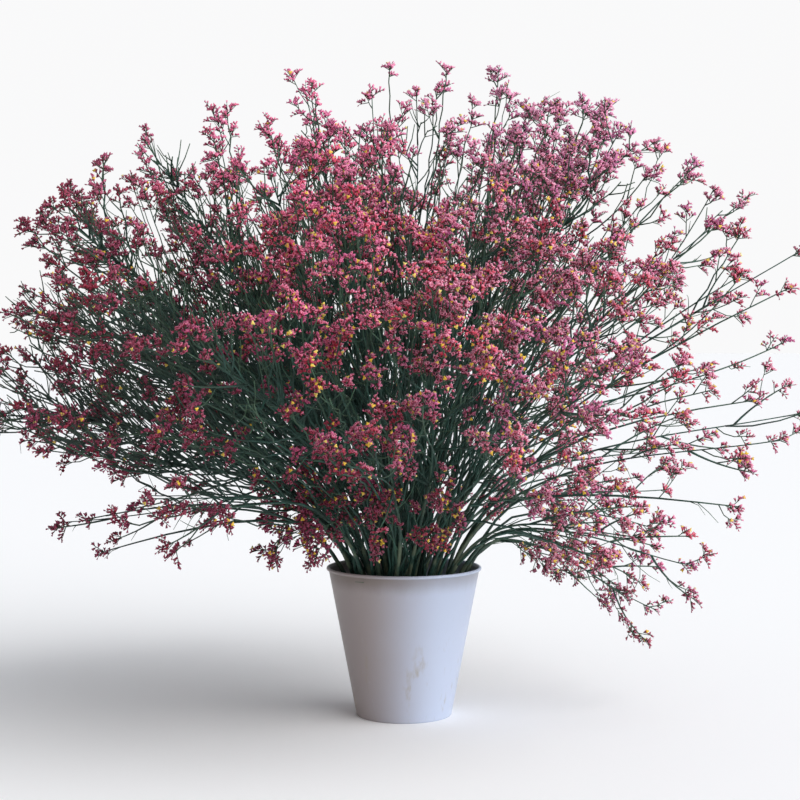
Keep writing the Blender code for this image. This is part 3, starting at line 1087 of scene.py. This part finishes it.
@dataclass(frozen=True)
class Zones:
    """Where the bunch is thick or thin, flowering or bare.

    A pair of places, heights or directions says where an effect starts and where it is
    full. A pair that ends in _thin gives the share of flowers that is lost, at the start
    and at the end of another zone.
    """

    left: Pair = (-0.10, -0.26)
    left_top: Pair = (0.50, 0.60)
    left_thin: Pair = (0.76, 0.56)
    far_left: Pair = (-0.38, -0.44)
    far_left_filling: float = 0.22
    low: Pair = (0.38, 0.30)
    low_right: float = 0.10
    low_thin: Pair = (0.75, 0.25)
    high: Pair = (0.50, 0.65)
    high_right: Pair = (0.05, 0.20)
    high_thin: Pair = (0.58, 0.34)
    deep: Pair = (0.42, 0.32)
    deep_height: Pair = (0.30, 0.40)
    deep_right: Pair = (0.0, 0.08)
    deep_thin: Pair = (0.60, 0.20)
    crown_centre: Pair = (-0.06, 0.61)
    crown_size: Pair = (0.13, 0.11)
    crown_full: float = 1.4
    crown_fall: float = 1.6
    crown_back: float = 0.05

    flower_share: float = 0.10
    more_flowers: Pair = (0.55, 0.45)
    fewer_high: Pair = (0.66, 0.72)
    fewer_left: Pair = (-0.16, -0.24)
    more_gain: float = 0.2
    fewer_loss: float = 0.6

    bare_right: float = 0.15
    lowest_bares: Pair = (0.36, 0.56)
    bare_top: float = 0.55
    bare_left: float = -0.12
    bare_cuts: tuple[int, int] = (6, 3)

    upright_from: float = 0.6
    upright_gain: float = 4.6
    left_gain: float = 1.1
    front_gain: float = 1.5
    front: Pair = (0.0, 0.20)
    front_middle: Pair = (0.0, 0.10)
    front_right: Pair = (0.50, 0.35)
    front_lean: Pair = (0.40, 0.60)
    right: Pair = (0.40, 0.65)
    right_loss: float = 0.72
    lowest_leans: Pair = (0.55, 0.31)
    lowest_left: Pair = (0.0, 0.60)
    lowest_fade: float = 0.20
    crowded_tips: Pair = (-0.25, -0.40)
    crowded_gain: float = 1.8
    bushy_tips: Pair = (-0.05, -0.25)
    bushy_height: Pair = (0.32, 0.42)

    def fullness(self, place: Vector) -> float:
        """How thickly the bunch flowers at a place, from 0 to 1."""
        left = rise(place.x, self.left) * part_way(self.left_thin, rise(place.z, self.left_top))
        left *= 1.0 - self.far_left_filling * rise(place.x, self.far_left)
        low = rise(place.z, self.low) * self.low_thin[place.x >= self.low_right]
        high = part_way(self.high_thin, rise(place.x, self.high_right)) * rise(place.z, self.high)
        deep = rise((place - MOUTH).length, self.deep) * rise(place.z, self.deep_height)
        deep *= part_way(self.deep_thin, rise(place.x, self.deep_right))
        full = (1.0 - left) * (1.0 - low) * (1.0 - high) * (1.0 - deep)
        across = (place.x - self.crown_centre[0]) / self.crown_size[0]
        above = (place.z - self.crown_centre[1]) / self.crown_size[1]
        crown = self.crown_full - self.crown_fall * (across**2 + above**2)
        return max(full, clamped(crown) * (place.y < self.crown_back))

    def opening(self, place: Vector) -> float:
        """The share of calyces with a yellow flower at a place."""
        low = 1.0 + self.more_gain * rise(place.z, self.more_flowers)
        high = 1.0 - self.fewer_loss * rise(place.z, self.fewer_high)
        left = 1.0 - self.fewer_loss * rise(place.x, self.fewer_left)
        return self.flower_share * low * high * left

    def lowest_bare(self, place: Vector) -> float:
        """The height under which no branch without flowers ends, on a place's side."""
        return self.lowest_bares[place.x >= self.bare_right]

    def bare_cut(self, tip: Vector) -> int:
        """How many points come off a branch without flowers that ends in the bunch's top."""
        return self.bare_cuts[tip.x >= self.bare_left] if tip.z > self.bare_top else 0

    def vigour(self, way: Vector) -> float:
        """How many times the usual number of shoots a stem has that leans this way."""
        upright, left = max(0.0, way.z - self.upright_from), max(0.0, -way.x)
        front = rise(-way.y, self.front) * rise(way.x, self.front_middle)
        front *= rise(way.x, self.front_right) * rise(way.z, self.front_lean)
        many = 1.0 + self.upright_gain * upright + self.left_gain * left + self.front_gain * front
        lowest = part_way(self.lowest_leans, rise(-way.x, self.lowest_left))
        low = clamped((lowest - way.z) / self.lowest_fade)
        return many * (1.0 - self.right_loss * rise(way.x, self.right)) * (1.0 - low)

    def crowding(self, tip: Vector) -> float:
        """How many times the usual number of outer shoots a stem has, by its tip's place."""
        return 1.0 + self.crowded_gain * rise(tip.x, self.crowded_tips)

    def bushiness(self, tip: Vector) -> float:
        """How many leafy shoots a stem has, from 0 to 1, by its tip's place."""
        return rise(tip.x, self.bushy_tips) * rise(tip.z, self.bushy_height)


def clamped(amount: float) -> float:
    """The amount, kept from 0 to 1."""
    return min(1.0, max(0.0, amount))


def rise(amount: float, zone: Pair) -> float:
    """0 before a zone's start, 1 past its end and even between, also where it runs down."""
    return clamped((amount - zone[0]) / (zone[1] - zone[0]))


def part_way(ends: Pair, share: float) -> float:
    """The number at a share of the way from the first end to the last."""
    return ends[0] + (ends[1] - ends[0]) * share


def turned(direction: Vector, about: Vector, angle: float) -> Vector:
    """A direction turned about another."""
    return Matrix.Rotation(angle, 3, about) @ direction


def leaned(ahead: Vector, roll: float, lean: float) -> Vector:
    """A direction that leans from another by an angle, towards a roll about it."""
    across = turned(ahead.orthogonal().normalized(), ahead, roll)
    return ahead * math.cos(lean) + across * math.sin(lean)


def evened(path: Sequence[Vector], count: int) -> list[Vector]:
    """A number of points spaced evenly along a line through points."""
    places = np.array(path, float)
    steps = np.linalg.norm(np.diff(places, axis=0), axis=1)
    reached = np.concatenate([[0.0], np.cumsum(steps)])
    wanted = np.linspace(0.0, reached[-1], count)
    return [Vector([np.interp(w, reached, places[:, k]) for k in range(3)]) for w in wanted]


def point_along(points: Sequence[Vector], share: float) -> tuple[Vector, Vector]:
    """The place at a share of an evenly spaced path, and the way ahead there."""
    whole = share * (len(points) - 1)
    k = min(int(whole), len(points) - 2)
    return points[k].lerp(points[k + 1], whole - k), (points[k + 1] - points[k]).normalized()


class StemGrowth:
    """Branches, twigs, spikes and flowers on one stem."""

    def __init__(
        self, index: int, layout: BunchLayout, habit: Habit, zones: Zones, limits: Any
    ) -> None:
        """Starts a stem with no growth.

        Args:
            index: The stem's number, from 0.
            layout: The bunch's layout.
            habit: How it branches and flowers.
            zones: Where the bunch is thick or thin.
            limits: The lowest and highest corner of the box that all growth keeps inside.
        """
        self.layout, self.habit, self.zones, self.limits = layout, habit, zones, limits
        self.dice = random.Random(FIRST_STEM_SEED + index)
        self.stout: list[Tube] = []
        self.fine: list[Tube] = []
        self.cups = Stamp()
        self.flowers = Stamp()
        self.shade = self.dice.uniform(-habit.stem_tint, habit.stem_tint)

    def grow(self, points: list[Vector], branches: list[list[Vector]]) -> None:
        """Grows everything on the stem's centreline and its main branches."""
        habit, zones = self.habit, self.zones
        head, tip = points[1:], points[-1]
        self.add_stem(points)
        self.add_twigs(head, habit.head_twigs)
        self.add_bare(head, habit.head_bare if tip.z > habit.low_head else habit.low_head_bare)
        self.add_spray(head)
        for path in branches:
            fork = path_length(path) > self.layout.longest_side
            self.add_tube(path[::2], habit.fork if fork else habit.branch)
            self.add_twigs(path, habit.fork_twigs if fork else habit.side_twigs)
            self.add_bare(path, habit.fork_bare if fork else habit.side_bare)
            self.add_spray(path)
        whole = evened(points, habit.parent_points)
        vigour = zones.vigour((tip - head[0]).normalized())
        for kind, many, way in (
            (habit.low, vigour, self.shoot_path),
            (habit.high, vigour, self.shoot_path),
            (habit.outer, vigour * zones.crowding(tip), self.free_path),
            (habit.leafy, zones.bushiness(tip), self.free_path),
        ):
            self.add_shoots(whole, kind, round(kind.count * many), way)
        self.add_hanging(head)

    def any_roll(self) -> float:
        """A random angle, up to a full turn."""
        return self.dice.uniform(0.0, 2 * math.pi)

    def scattered(self, most: float) -> Vector:
        """A random vector whose parts are at most this long."""
        return Vector([self.dice.uniform(-most, most) for _ in range(3)])

    def add_stem(self, points: Sequence[Vector]) -> None:
        """Adds the main stem, on its foot and every second point from the mouth to the tip."""
        first, last = self.layout.stem_radius, self.habit.head_radius
        shown = [0, *range(1, len(points), 2)]
        left = [1.0 - max(0, k - 1) / (len(points) - 2) for k in shown]
        radii = [last + (first - last) * s**2 for s in left]
        self.stout.append(Tube([points[k] for k in shown], radii, self.habit.stem_youth))

    def add_tube(self, path: Sequence[Vector], wood: Wood) -> None:
        """Adds a tapered twig."""
        self.fine.append(Tube(path, np.linspace(*wood.radii, len(path)), wood.youth))

    def add_shoots(self, parent: Sequence[Vector], kind: Shoots, count: int, way: Any) -> None:
        """Adds long thin branches of one kind, with their twigs and flowers.

        Args:
            parent: The parent's evenly spaced centreline.
            kind: The kind of branch.
            count: How many.
            way: The function that draws such a branch's centreline.
        """
        habit, zones = self.habit, self.zones
        total = path_length(parent)
        for _ in range(count):
            share = self.dice.uniform(*kind.places)
            length = (1.0 - share) * total * self.dice.uniform(*kind.lengths) + habit.least_shoot
            path = way(parent, share, self.dice.uniform(*kind.lean), length)
            flowering = self.dice.random() < zones.fullness(path[-1]) * habit.shoot_flowering
            if not flowering:
                if path[-1].z < zones.lowest_bare(path[-1]):
                    continue
                path = path[: max(3, len(path) - zones.bare_cut(path[-1]))]
            self.add_tube(path, Wood(kind.radii, habit.shoot_youth))
            self.add_twigs(path, replace(habit.shoot_twigs, count=kind.twigs), float(flowering))
            self.add_bare(path, replace(habit.shoot_bare, count=kind.bare))
            if flowering:
                self.add_spray(path)

    def free_path(
        self, parent: Sequence[Vector], share: float, lean: float, length: float
    ) -> list[Vector]:
        """The centreline of a branch that leaves its parent, zigzags and slowly turns up.

        Args:
            parent: The parent's evenly spaced centreline.
            share: Where on it the branch leaves.
            lean: The angle at which it leaves.
            length: Its length.

        Returns:
            The centreline's points.
        """
        habit = self.habit
        base, ahead = point_along(parent, share)
        way = leaned(ahead, self.any_roll(), lean)
        if way.dot(base - MOUTH) < 0.0:
            way = way.reflect(ahead.orthogonal().normalized())
        side = leaned(way, self.any_roll(), math.pi / 2)
        steps = max(3, round(length / habit.free_step))
        points = [base]
        for _ in range(steps):
            side = -side
            outward = (points[-1] - MOUTH).normalized()
            way = (way + UP * habit.free_rise + outward * habit.free_spread).normalized()
            step = (way + side * self.dice.uniform(*habit.free_zigzag)).normalized()
            points.append(points[-1] + step * (length / steps))
        return self.trimmed(points)

    def shoot_path(
        self, parent: Sequence[Vector], share: float, lean: float, length: float
    ) -> list[Vector]:
        """The centreline of a branch that leaves its parent and then runs beside it.

        Args:
            parent: The parent's evenly spaced centreline.
            share: Where on it the branch leaves.
            lean: The angle at which it leaves.
            length: Its length.

        Returns:
            The centreline's points.
        """
        dice, habit = self.dice, self.habit
        base, ahead = point_along(parent, share)
        across = turned(ahead.orthogonal().normalized(), ahead, self.any_roll())
        if base.z < BUCKET_HEIGHT and across.dot(Vector((base.x, base.y, 0.0))) > 0.0:
            across = -across
        steps = max(4, round(length / habit.shoot_step))
        total = path_length(parent)
        points = [base]
        bend = dice.choice((-1.0, 1.0))
        for k in range(steps):
            along = k / steps
            _, ahead = point_along(parent, min(1.0, share + along * length / total))
            across = (across - ahead * across.dot(ahead)).normalized()
            angle = lean * (1.0 - habit.shoot_straightening * along)
            way = ahead * math.cos(angle) + across * math.sin(angle)
            way += UP * habit.shoot_rise * along
            if k > 1:
                way += ahead.cross(across) * bend * dice.uniform(*habit.shoot_zigzag)
                bend = -bend
            points.append(points[-1] + way.normalized() * (length / steps))
        return self.trimmed(points)

    def trimmed(self, path: list[Vector]) -> list[Vector]:
        """The part of a path before it leaves the bunch's box or its domed outline."""
        inside = [self.in_box(p) and self.under_dome(p) for p in path]
        if all(inside):
            return path
        kept = inside.index(False)
        return path[:kept] if kept > 1 else [path[0], path[0].lerp(path[1], self.habit.stub)]

    def in_box(self, place: Vector) -> bool:
        """Whether a place is inside the box that all growth keeps to."""
        return all(low < c < high for low, c, high in zip(self.limits[0], place, self.limits[1]))

    def under_dome(self, place: Vector) -> bool:
        """Whether a place is no farther out than the stems' own heads reach."""
        out = place - MOUTH
        if out.length < self.habit.dome_from:
            return True
        reach = self.layout.reach_at(out.angle(UP), math.atan2(out.y, out.x))
        return out.length < reach + self.habit.overreach

    def add_hanging(self, head: Sequence[Vector]) -> None:
        """Adds thin shoots that droop from the lower half of a stem that leans far out."""
        dice, habit = self.dice, self.habit
        outward = head[-1] - head[0]
        if outward.angle(UP) <= habit.hanging_tilt:
            return
        behind = outward.y >= -habit.hanging_front * outward.xy.length
        last = habit.hanging_last[outward.x <= 0.0]
        steps = habit.hanging_steps
        for _ in range(habit.hanging_counts[behind]):
            base, ahead = point_along(head, dice.uniform(habit.hanging_first, last))
            out = leaned(ahead, self.any_roll(), dice.uniform(*habit.hanging_lean))
            length = dice.uniform(*habit.hanging_lengths)
            points = [base]
            for k in range(steps):
                drooped = out.lerp(-UP, habit.droop * ((k + 1) / steps) ** habit.droop_power)
                way = drooped + outward.normalized() * habit.hanging_outward
                points.append(points[-1] + way.normalized() * (length / steps))
            points = self.trimmed(points)
            self.add_tube(points, habit.hanging)
            self.add_twigs(points, habit.hanging_twigs, 1.0)
            self.add_spray(points)

    def add_twigs(self, path: Sequence[Vector], twigs: Twigs, chance: float | None = None) -> None:
        """Adds flowering twigs along a branch.

        Args:
            path: The branch's centreline.
            twigs: How many twigs, where and how long.
            chance: The share of twigs that flower, or None where that follows from the place.
        """
        dice, habit, zones = self.dice, self.habit, self.zones
        roll = self.any_roll()
        for k in range(twigs.count):
            part = k / max(1, twigs.count - 1)
            jitter = habit.twig_place_jitter
            share = part_way(twigs.places, part) + dice.uniform(-jitter, jitter)
            length = part_way(twigs.lengths, part) * dice.uniform(*habit.twig_lengths)
            base, ahead = point_along(path, share)
            roll += GOLDEN_ANGLE + dice.uniform(-habit.twig_turn_jitter, habit.twig_turn_jitter)
            out = leaned(ahead, roll, dice.uniform(*habit.twig_lean))
            twig = self.twig_path(base, out, ahead, length)
            flowering = dice.random() < (zones.fullness(base) if chance is None else chance)
            if flowering or base.z > zones.lowest_bare(base):
                self.add_tube(twig, habit.twig)
            if not flowering:
                continue
            self.add_spray(twig)
            if length > habit.forking_length:
                middle, onward = point_along(twig, dice.uniform(*habit.fork_places))
                way = leaned(onward, roll + habit.fork_turn, dice.uniform(*habit.twig_lean))
                small = self.twig_path(middle, way, onward, dice.uniform(*habit.small_lengths))
                self.add_tube(small, habit.small_twig)
                self.add_spray(small)

    def twig_path(self, base: Vector, out: Vector, ahead: Vector, length: float) -> list[Vector]:
        """A twig's centreline, which bends from its way out towards the way ahead and up."""
        habit = self.habit
        steps = max(2, round(length / habit.twig_step))
        wobble = self.dice.uniform(-habit.twig_wobble, habit.twig_wobble)
        points = [base]
        for k in range(steps):
            along = k / steps
            way = out.lerp(ahead, habit.twig_straightening * along) + UP * habit.twig_rise * along
            turn = habit.twig_twist * along + wobble * habit.wobble_turn
            way += leaned(out, turn, habit.wobble_lean) * wobble * habit.wobble_share
            points.append(points[-1] + way.normalized() * (length / steps))
        return self.trimmed(points)

    def add_bare(self, path: Sequence[Vector], twigs: Twigs) -> None:
        """Adds thin curling twigs without flowers."""
        dice, habit = self.dice, self.habit
        for _ in range(twigs.count):
            base, ahead = point_along(path, dice.uniform(*twigs.places))
            way = leaned(ahead, self.any_roll(), dice.uniform(*habit.bare_lean))
            axis = leaned(way, self.any_roll(), math.pi / 2)
            curl = dice.uniform(*habit.bare_curl)
            length = dice.uniform(*twigs.lengths)
            steps = max(2, round(length / habit.bare_step))
            points = [base]
            for _ in range(steps):
                points.append(points[-1] + way * (length / steps))
                way = turned(way, axis, curl)
            self.add_tube(self.trimmed(points), habit.bare_twig)

    def add_spray(self, path: Sequence[Vector]) -> None:
        """Adds the cluster of flower spikes at a branch's end."""
        dice, habit = self.dice, self.habit
        tip, ahead = path[-1], (path[-1] - path[-2]).normalized()
        roll = self.any_roll()
        back = 0.0
        tint = dice.uniform(0.0, 1.0)
        for k in range(dice.choice(habit.spikes)):
            if k == 0:
                out = leaned(ahead, roll, dice.uniform(*habit.first_spike_lean))
                self.add_spike(tip, out, 0.0, tint)
                continue
            back += dice.uniform(*habit.spike_gap)
            jitter = habit.spike_turn_jitter
            roll += habit.spike_turn + dice.uniform(-jitter, jitter)
            out = leaned(ahead, roll, dice.uniform(*habit.spike_lean))
            self.add_spike(tip - ahead * back, out, dice.uniform(*habit.pedicel), tint)

    def add_spike(self, base: Vector, out: Vector, pedicel: float, tint: float) -> None:
        """Adds one arching spike with its cups in two rows on the upper side.

        Args:
            base: Where the spike leaves its twig.
            out: The way it leaves.
            pedicel: The bare length before the first cup.
            tint: The spray's own tint, 0 to 1.
        """
        dice, habit = self.dice, self.habit
        length = dice.uniform(*habit.spike_length)
        if not self.in_box(base + out * (pedicel + length)):
            return
        outward = (base - MOUTH).normalized()
        wish = UP * habit.spike_rise + outward * habit.spike_spread
        wish += self.scattered(habit.spike_scatter)
        upper = (wish - out * wish.dot(out)).normalized()
        hinge = out.cross(upper)
        arch = dice.uniform(*habit.spike_arch)
        count = max(3, round(length / habit.cup_spacing))
        spine, ways = [base + out * pedicel], [out]
        for k in range(count):
            ways.append(turned(out, hinge, -arch * (k + 1) / count))
            spine.append(spine[-1] + ways[-1] * (length / count))
        self.add_tube([base, spine[-1]], habit.spine)
        for k in range(count):
            way = ways[k + 1]
            top = way.cross(hinge) * -1.0
            row = habit.cup_sideways if k % 2 else -habit.cup_sideways
            toward = way * habit.cup_forward + top * habit.cup_upward + hinge * row
            toward += self.scattered(habit.cup_scatter)
            self.add_cup(spine[k], toward.normalized(), k / count, tint)
        self.add_cup(spine[-1], ways[-1], 1.0, tint)

    def add_cup(self, base: Vector, toward: Vector, part: float, tint: float) -> None:
        """Adds one calyx, and in some a yellow flower.

        Args:
            base: Where it sits on the spike.
            toward: The way it points.
            part: How far along the spike it sits, where 1 is the youngest.
            tint: The spray's own tint, 0 to 1.
        """
        dice, habit = self.dice, self.habit
        shrunk = habit.youngest_shrink * part**habit.shrink_power
        closed = habit.youngest_closing * part**habit.closing_power
        size = (1.0 - shrunk) * dice.uniform(*habit.cup_sizes)
        openness = (1.0 - closed) * dice.uniform(*habit.cup_openness)
        length, width = habit.cup_length * size, habit.cup_width * size * openness
        own = (1.0 - habit.spray_tint) * dice.random()
        own = clamped(habit.spray_tint * tint + own + self.shade)
        roll = self.any_roll()
        self.cups.copies.append((base, toward, roll, length, width, own))
        if part < habit.last_flower and dice.random() < self.zones.opening(base):
            grown = dice.uniform(*habit.flower_sizes)
            mouth = base + toward * (length * habit.flower_seat)
            wide, long = habit.flower_width * grown, habit.flower_length * grown
            self.flowers.copies.append((mouth, toward, roll, long, wide, dice.random()))


class Bunch:
    """All stems, dressed: each stem's branches, and the calyces and corollas by sector."""

    cup_sectors: int = 12
    flower_sectors: int = 4

    def __init__(self, layout: BunchLayout, habit: Habit, zones: Zones) -> None:
        """Keeps the layout.

        Args:
            layout: The bunch's layout.
            habit: How the stems branch and flower.
            zones: Where the bunch is thick or thin.
        """
        self.layout, self.habit, self.zones = layout, habit, zones
        low, high = cad_box
        self.limits = [c - habit.box_reach for c in low], [c + habit.box_reach for c in high]
        self.cups = [Stamp() for _ in range(self.cup_sectors)]
        self.flowers = [Stamp() for _ in range(self.flower_sectors)]

    def build(self) -> None:
        """Grows every stem, then builds the pieces."""
        finish = StemFinish().material()
        for index, (points, branches) in enumerate(self.layout.grow()):
            growth = StemGrowth(index, self.layout, self.habit, self.zones, self.limits)
            growth.grow(points, branches)
            number = f"{index + 1:02d}"
            stem = self.stem_piece(f"branches_{number}", growth)
            finished(stem, finish, Slot.STEM, f"statice_stem_{number}")
            turn = math.atan2(points[-1].y, points[-1].x) / (2 * math.pi) % 1.0
            self.cups[int(turn * self.cup_sectors)].copies += growth.cups.copies
            self.flowers[int(turn * self.flower_sectors)].copies += growth.flowers.copies
        cup, flower = CalyxFinish().material(), CorollaFinish().material()
        self.build_all("calyces", self.cups, cup_template(), cup, Slot.CALYX)
        self.build_all("corollas", self.flowers, flower_template(), flower, Slot.COROLLA)

    def build_all(
        self, name: str, stamps: Sequence[Stamp], template: Template, material: Any, slot: Slot
    ) -> None:
        """Builds one piece for each sector's stamp."""
        for k, stamp in enumerate(stamps):
            finished(stamp.build(f"{name}_{k + 1:02d}", template), material, slot)

    def stem_piece(self, name: str, growth: StemGrowth) -> Any:
        """A stem and all its twigs as one mesh object."""
        rows = MapRows([t.length() for t in (*growth.stout, *growth.fine)])
        stout = tubes_object(name, growth.stout, 1, rows)
        fine = tubes_object("twigs", growth.fine, 0, rows)
        select_only([stout, fine])
        bpy.ops.object.join()
        stout.data.name = name
        return stout


def finished(piece: Any, material: Any, slot: Slot, *nodes: str) -> None:
    """Gives a piece its material and its place on the body, hides the solid's nodes that it stands
    for, and logs its triangles.

    Args:
        piece: The piece's object.
        material: Its material.
        slot: The record's slot that it would take its finish from. Not used.
        nodes: The solid model's nodes that it stands for.
    """
    piece.data.materials.clear()
    piece.data.materials.append(material)
    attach(piece, BODY)
    if nodes:
        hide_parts(*nodes)
    faces = sum(len(p.vertices) - 2 for p in piece.data.polygons)
    log.info("%s: %d triangles", piece.name, faces)


@dataclass
class Bucket:
    """The thin tapered bucket with a rolled lip and a foot ring."""

    height: float = BUCKET_HEIGHT
    mouth_radius: float = 0.0965
    foot_radius: float = 0.0610
    wall: float = 0.0018
    floor_top: float = BUCKET_FLOOR
    fillet: float = 0.0040
    fillet_angles: tuple[float, ...] = (0.0, 0.5, 1.0, math.pi / 2)
    inner_top: Pair = (0.0008, 0.006)
    inner_parts: int = 10
    lip_radius: float = 0.0022
    lip_degrees: range = range(160, -110, -20)
    lip_depth: float = 2.2
    outer_step: float = 0.0004
    outer_parts: int = 12
    foot_top: float = 0.0030
    foot_width: float = 0.0050
    foot_outside: tuple[Pair, ...] = ((0.0001, 0.0012), (-0.0005, 0.0003), (-0.0012, 0.0))
    foot_inside: tuple[Pair, ...] = ((0.0006, 0.0), (0.0, 0.0003), (-0.0012, 0.0020))
    sides: int = 128
    smooth_angle: float = math.radians(40)

    def profile(self) -> list[Pair]:
        """(radius, height) from the inner floor's edge up, over the lip and down to the foot."""
        inner_foot = self.foot_radius - self.wall
        floor, fillet = self.floor_top, self.fillet
        corner = [
            (inner_foot - fillet + fillet * math.sin(a), floor + fillet - fillet * math.cos(a))
            for a in self.fillet_angles
        ]
        inset, below = self.inner_top
        top = (self.mouth_radius - self.wall - inset, self.height - below)
        walls_in = between_points(corner[-1], top, self.inner_parts)
        curl = self.lip_radius
        centre = self.mouth_radius + curl - self.wall
        lip = [
            (centre + curl * math.cos(a), self.height + curl * (math.sin(a) - 1))
            for a in (math.radians(d) for d in self.lip_degrees)
        ]
        under = (self.mouth_radius - self.outer_step, self.height - self.lip_depth * curl)
        foot = (self.foot_radius + self.outer_step, self.foot_top)
        walls_out = between_points(under, foot, self.outer_parts)
        recess_edge = self.foot_radius - self.foot_width
        outside = [(self.foot_radius + out, height) for out, height in self.foot_outside]
        inside = [(recess_edge + out, height) for out, height in self.foot_inside]
        return [*corner, *walls_in[1:], *lip, *walls_out, *outside, *inside]

    def build(self) -> None:
        """Models the bucket ring by ring and dresses it."""
        profile = self.profile()
        deselect()
        radius, height = profile[0]
        bpy.ops.mesh.primitive_circle_add(
            vertices=self.sides, radius=radius, fill_type="TRIFAN", location=(0, 0, 0)
        )
        bucket = bpy.context.object
        bucket.name = "bucket_shell"
        bucket.data.name = bucket.name
        bucket.data.transform(Matrix.Translation((0, 0, height)))
        bpy.ops.object.mode_set(mode="EDIT")
        bpy.ops.mesh.select_mode(type="EDGE")
        bpy.ops.mesh.select_all(action="SELECT")
        bpy.ops.mesh.region_to_loop()
        for (r0, z0), (r1, z1) in zip(profile, profile[1:]):
            bpy.ops.mesh.extrude_edges_move(TRANSFORM_OT_translate={"value": (0, 0, z1 - z0)})
            bpy.ops.transform.resize(value=(r1 / r0, r1 / r0, 1.0), center_override=(0, 0, z1))
        bpy.ops.mesh.edge_face_add()
        bpy.ops.mesh.poke()
        bpy.ops.mesh.select_all(action="SELECT")
        bpy.ops.mesh.normals_make_consistent(inside=False)
        bpy.ops.object.mode_set(mode="OBJECT")
        bpy.ops.object.shade_smooth_by_angle(angle=self.smooth_angle)
        finished(bucket, BucketFinish().material(), Slot.BUCKET, "bucket")


def between_points(first: Pair, last: Pair, parts: int) -> list[Pair]:
    """Points on a straight line, both ends included."""
    return [
        (first[0] + (last[0] - first[0]) * k / parts, first[1] + (last[1] - first[1]) * k / parts)
        for k in range(parts + 1)
    ]


@dataclass
class Studio:
    """Pale floor, soft daylight from the upper right and the photograph's camera."""

    image_size: float = 800.0
    rim_pixel: Pair = (404.0, 566.0)
    metres_per_pixel: float = 0.00128
    rim_height: float = BUCKET_HEIGHT
    distance: float = 2.2
    rim_elevation: float = math.radians(7.5)
    pitch: float = math.radians(2.0)
    floor_size: float = 120.0
    key_strength: float = 2.9
    key_colour: Colour = (1.0, 0.99, 0.98)
    key_angle: float = math.radians(70)
    key_way: tuple[float, float, float] = (-0.80, 0.48, -0.70)
    sky_left: Colour = (0.38, 0.34, 0.32)
    sky_right: Colour = (0.84, 0.93, 1.04)
    sky_strength: float = 0.75
    backdrop: Colour = (0.95, 0.95, 0.955)

    def build(self) -> None:
        """Makes the floor, the lights and the camera."""
        self.floor()
        self.lights()
        self.camera()
        bpy.context.scene.view_settings.view_transform = "Standard"

    def floor(self) -> None:
        """A plain floor at the bucket's foot."""
        deselect()
        bpy.ops.mesh.primitive_plane_add(size=self.floor_size, location=(0, 0, 0))
        floor = bpy.context.object
        floor.name = "floor"
        floor.data.materials.append(FloorFinish().material())

    def lights(self) -> None:
        """A broad soft key from the upper right front, and a dimmer sky, bluer on the right."""
        key = bpy.data.lights.new("key", "SUN")
        key.energy = self.key_strength
        key.angle = self.key_angle
        key.color = self.key_colour
        lamp = bpy.data.objects.new("key", key)
        bpy.context.scene.collection.objects.link(lamp)
        lamp.rotation_euler = Vector(self.key_way).to_track_quat("-Z", "Y").to_euler()

        world = bpy.data.worlds.new("sky")
        bpy.context.scene.world = world
        world.use_nodes = True
        world.node_tree.nodes.clear()
        sky = Wiring(world.node_tree)
        way = sky.node("ShaderNodeTexCoord", output="Generated")
        leftmost = {"Value": sky.part(way, "X"), "From Min": -1.0}
        side = sky.node("ShaderNodeMapRange", None, leftmost)
        tint = sky.ramp(side, ((0.0, self.sky_left), (1.0, self.sky_right)))
        glow = {"Color": tint, "Strength": self.sky_strength}
        light = sky.node("ShaderNodeBackground", None, glow)
        seen = sky.node("ShaderNodeBackground", None, {"Color": self.backdrop})
        ray = sky.node("ShaderNodeLightPath", output="Is Camera Ray")
        mixed = sky.node("ShaderNodeMixShader", None, {0: ray, 1: light, 2: seen})
        world_output = sky.tree.nodes.new("ShaderNodeOutputWorld")
        sky.feed(world_output.inputs["Surface"], mixed)

    def camera(self) -> None:
        """The photograph's view: its distance, height and framing, from the rim's ellipse."""
        centre = self.image_size / 2
        depth = self.distance * math.cos(self.rim_elevation - self.pitch)
        focal_pixels = depth / self.metres_per_pixel
        data = bpy.data.cameras.new("photo_view")
        data.sensor_width = 36.0
        data.lens = data.sensor_width * focal_pixels / self.image_size
        camera = bpy.data.objects.new("photo_view", data)
        bpy.context.scene.collection.objects.link(camera)
        down_to_rim = self.pitch + math.atan((self.rim_pixel[1] - centre) / focal_pixels)
        camera.location = (
            -(self.rim_pixel[0] - centre) * self.metres_per_pixel,
            -self.distance * math.cos(down_to_rim),
            self.rim_height + self.distance * math.sin(down_to_rim),
        )
        camera.rotation_euler = (math.pi / 2 - self.pitch, 0.0, 0.0)
        bpy.context.scene.camera = camera


def main() -> None:
    """Builds the stage, the bucket and the bunch in turn."""
    logging.basicConfig(level=logging.INFO, format="%(name)s %(message)s")
    Studio().build()
    Bucket().build()
    Bunch(BunchLayout(), Habit(), Zones()).build()


if __name__ == "__main__":
    main()
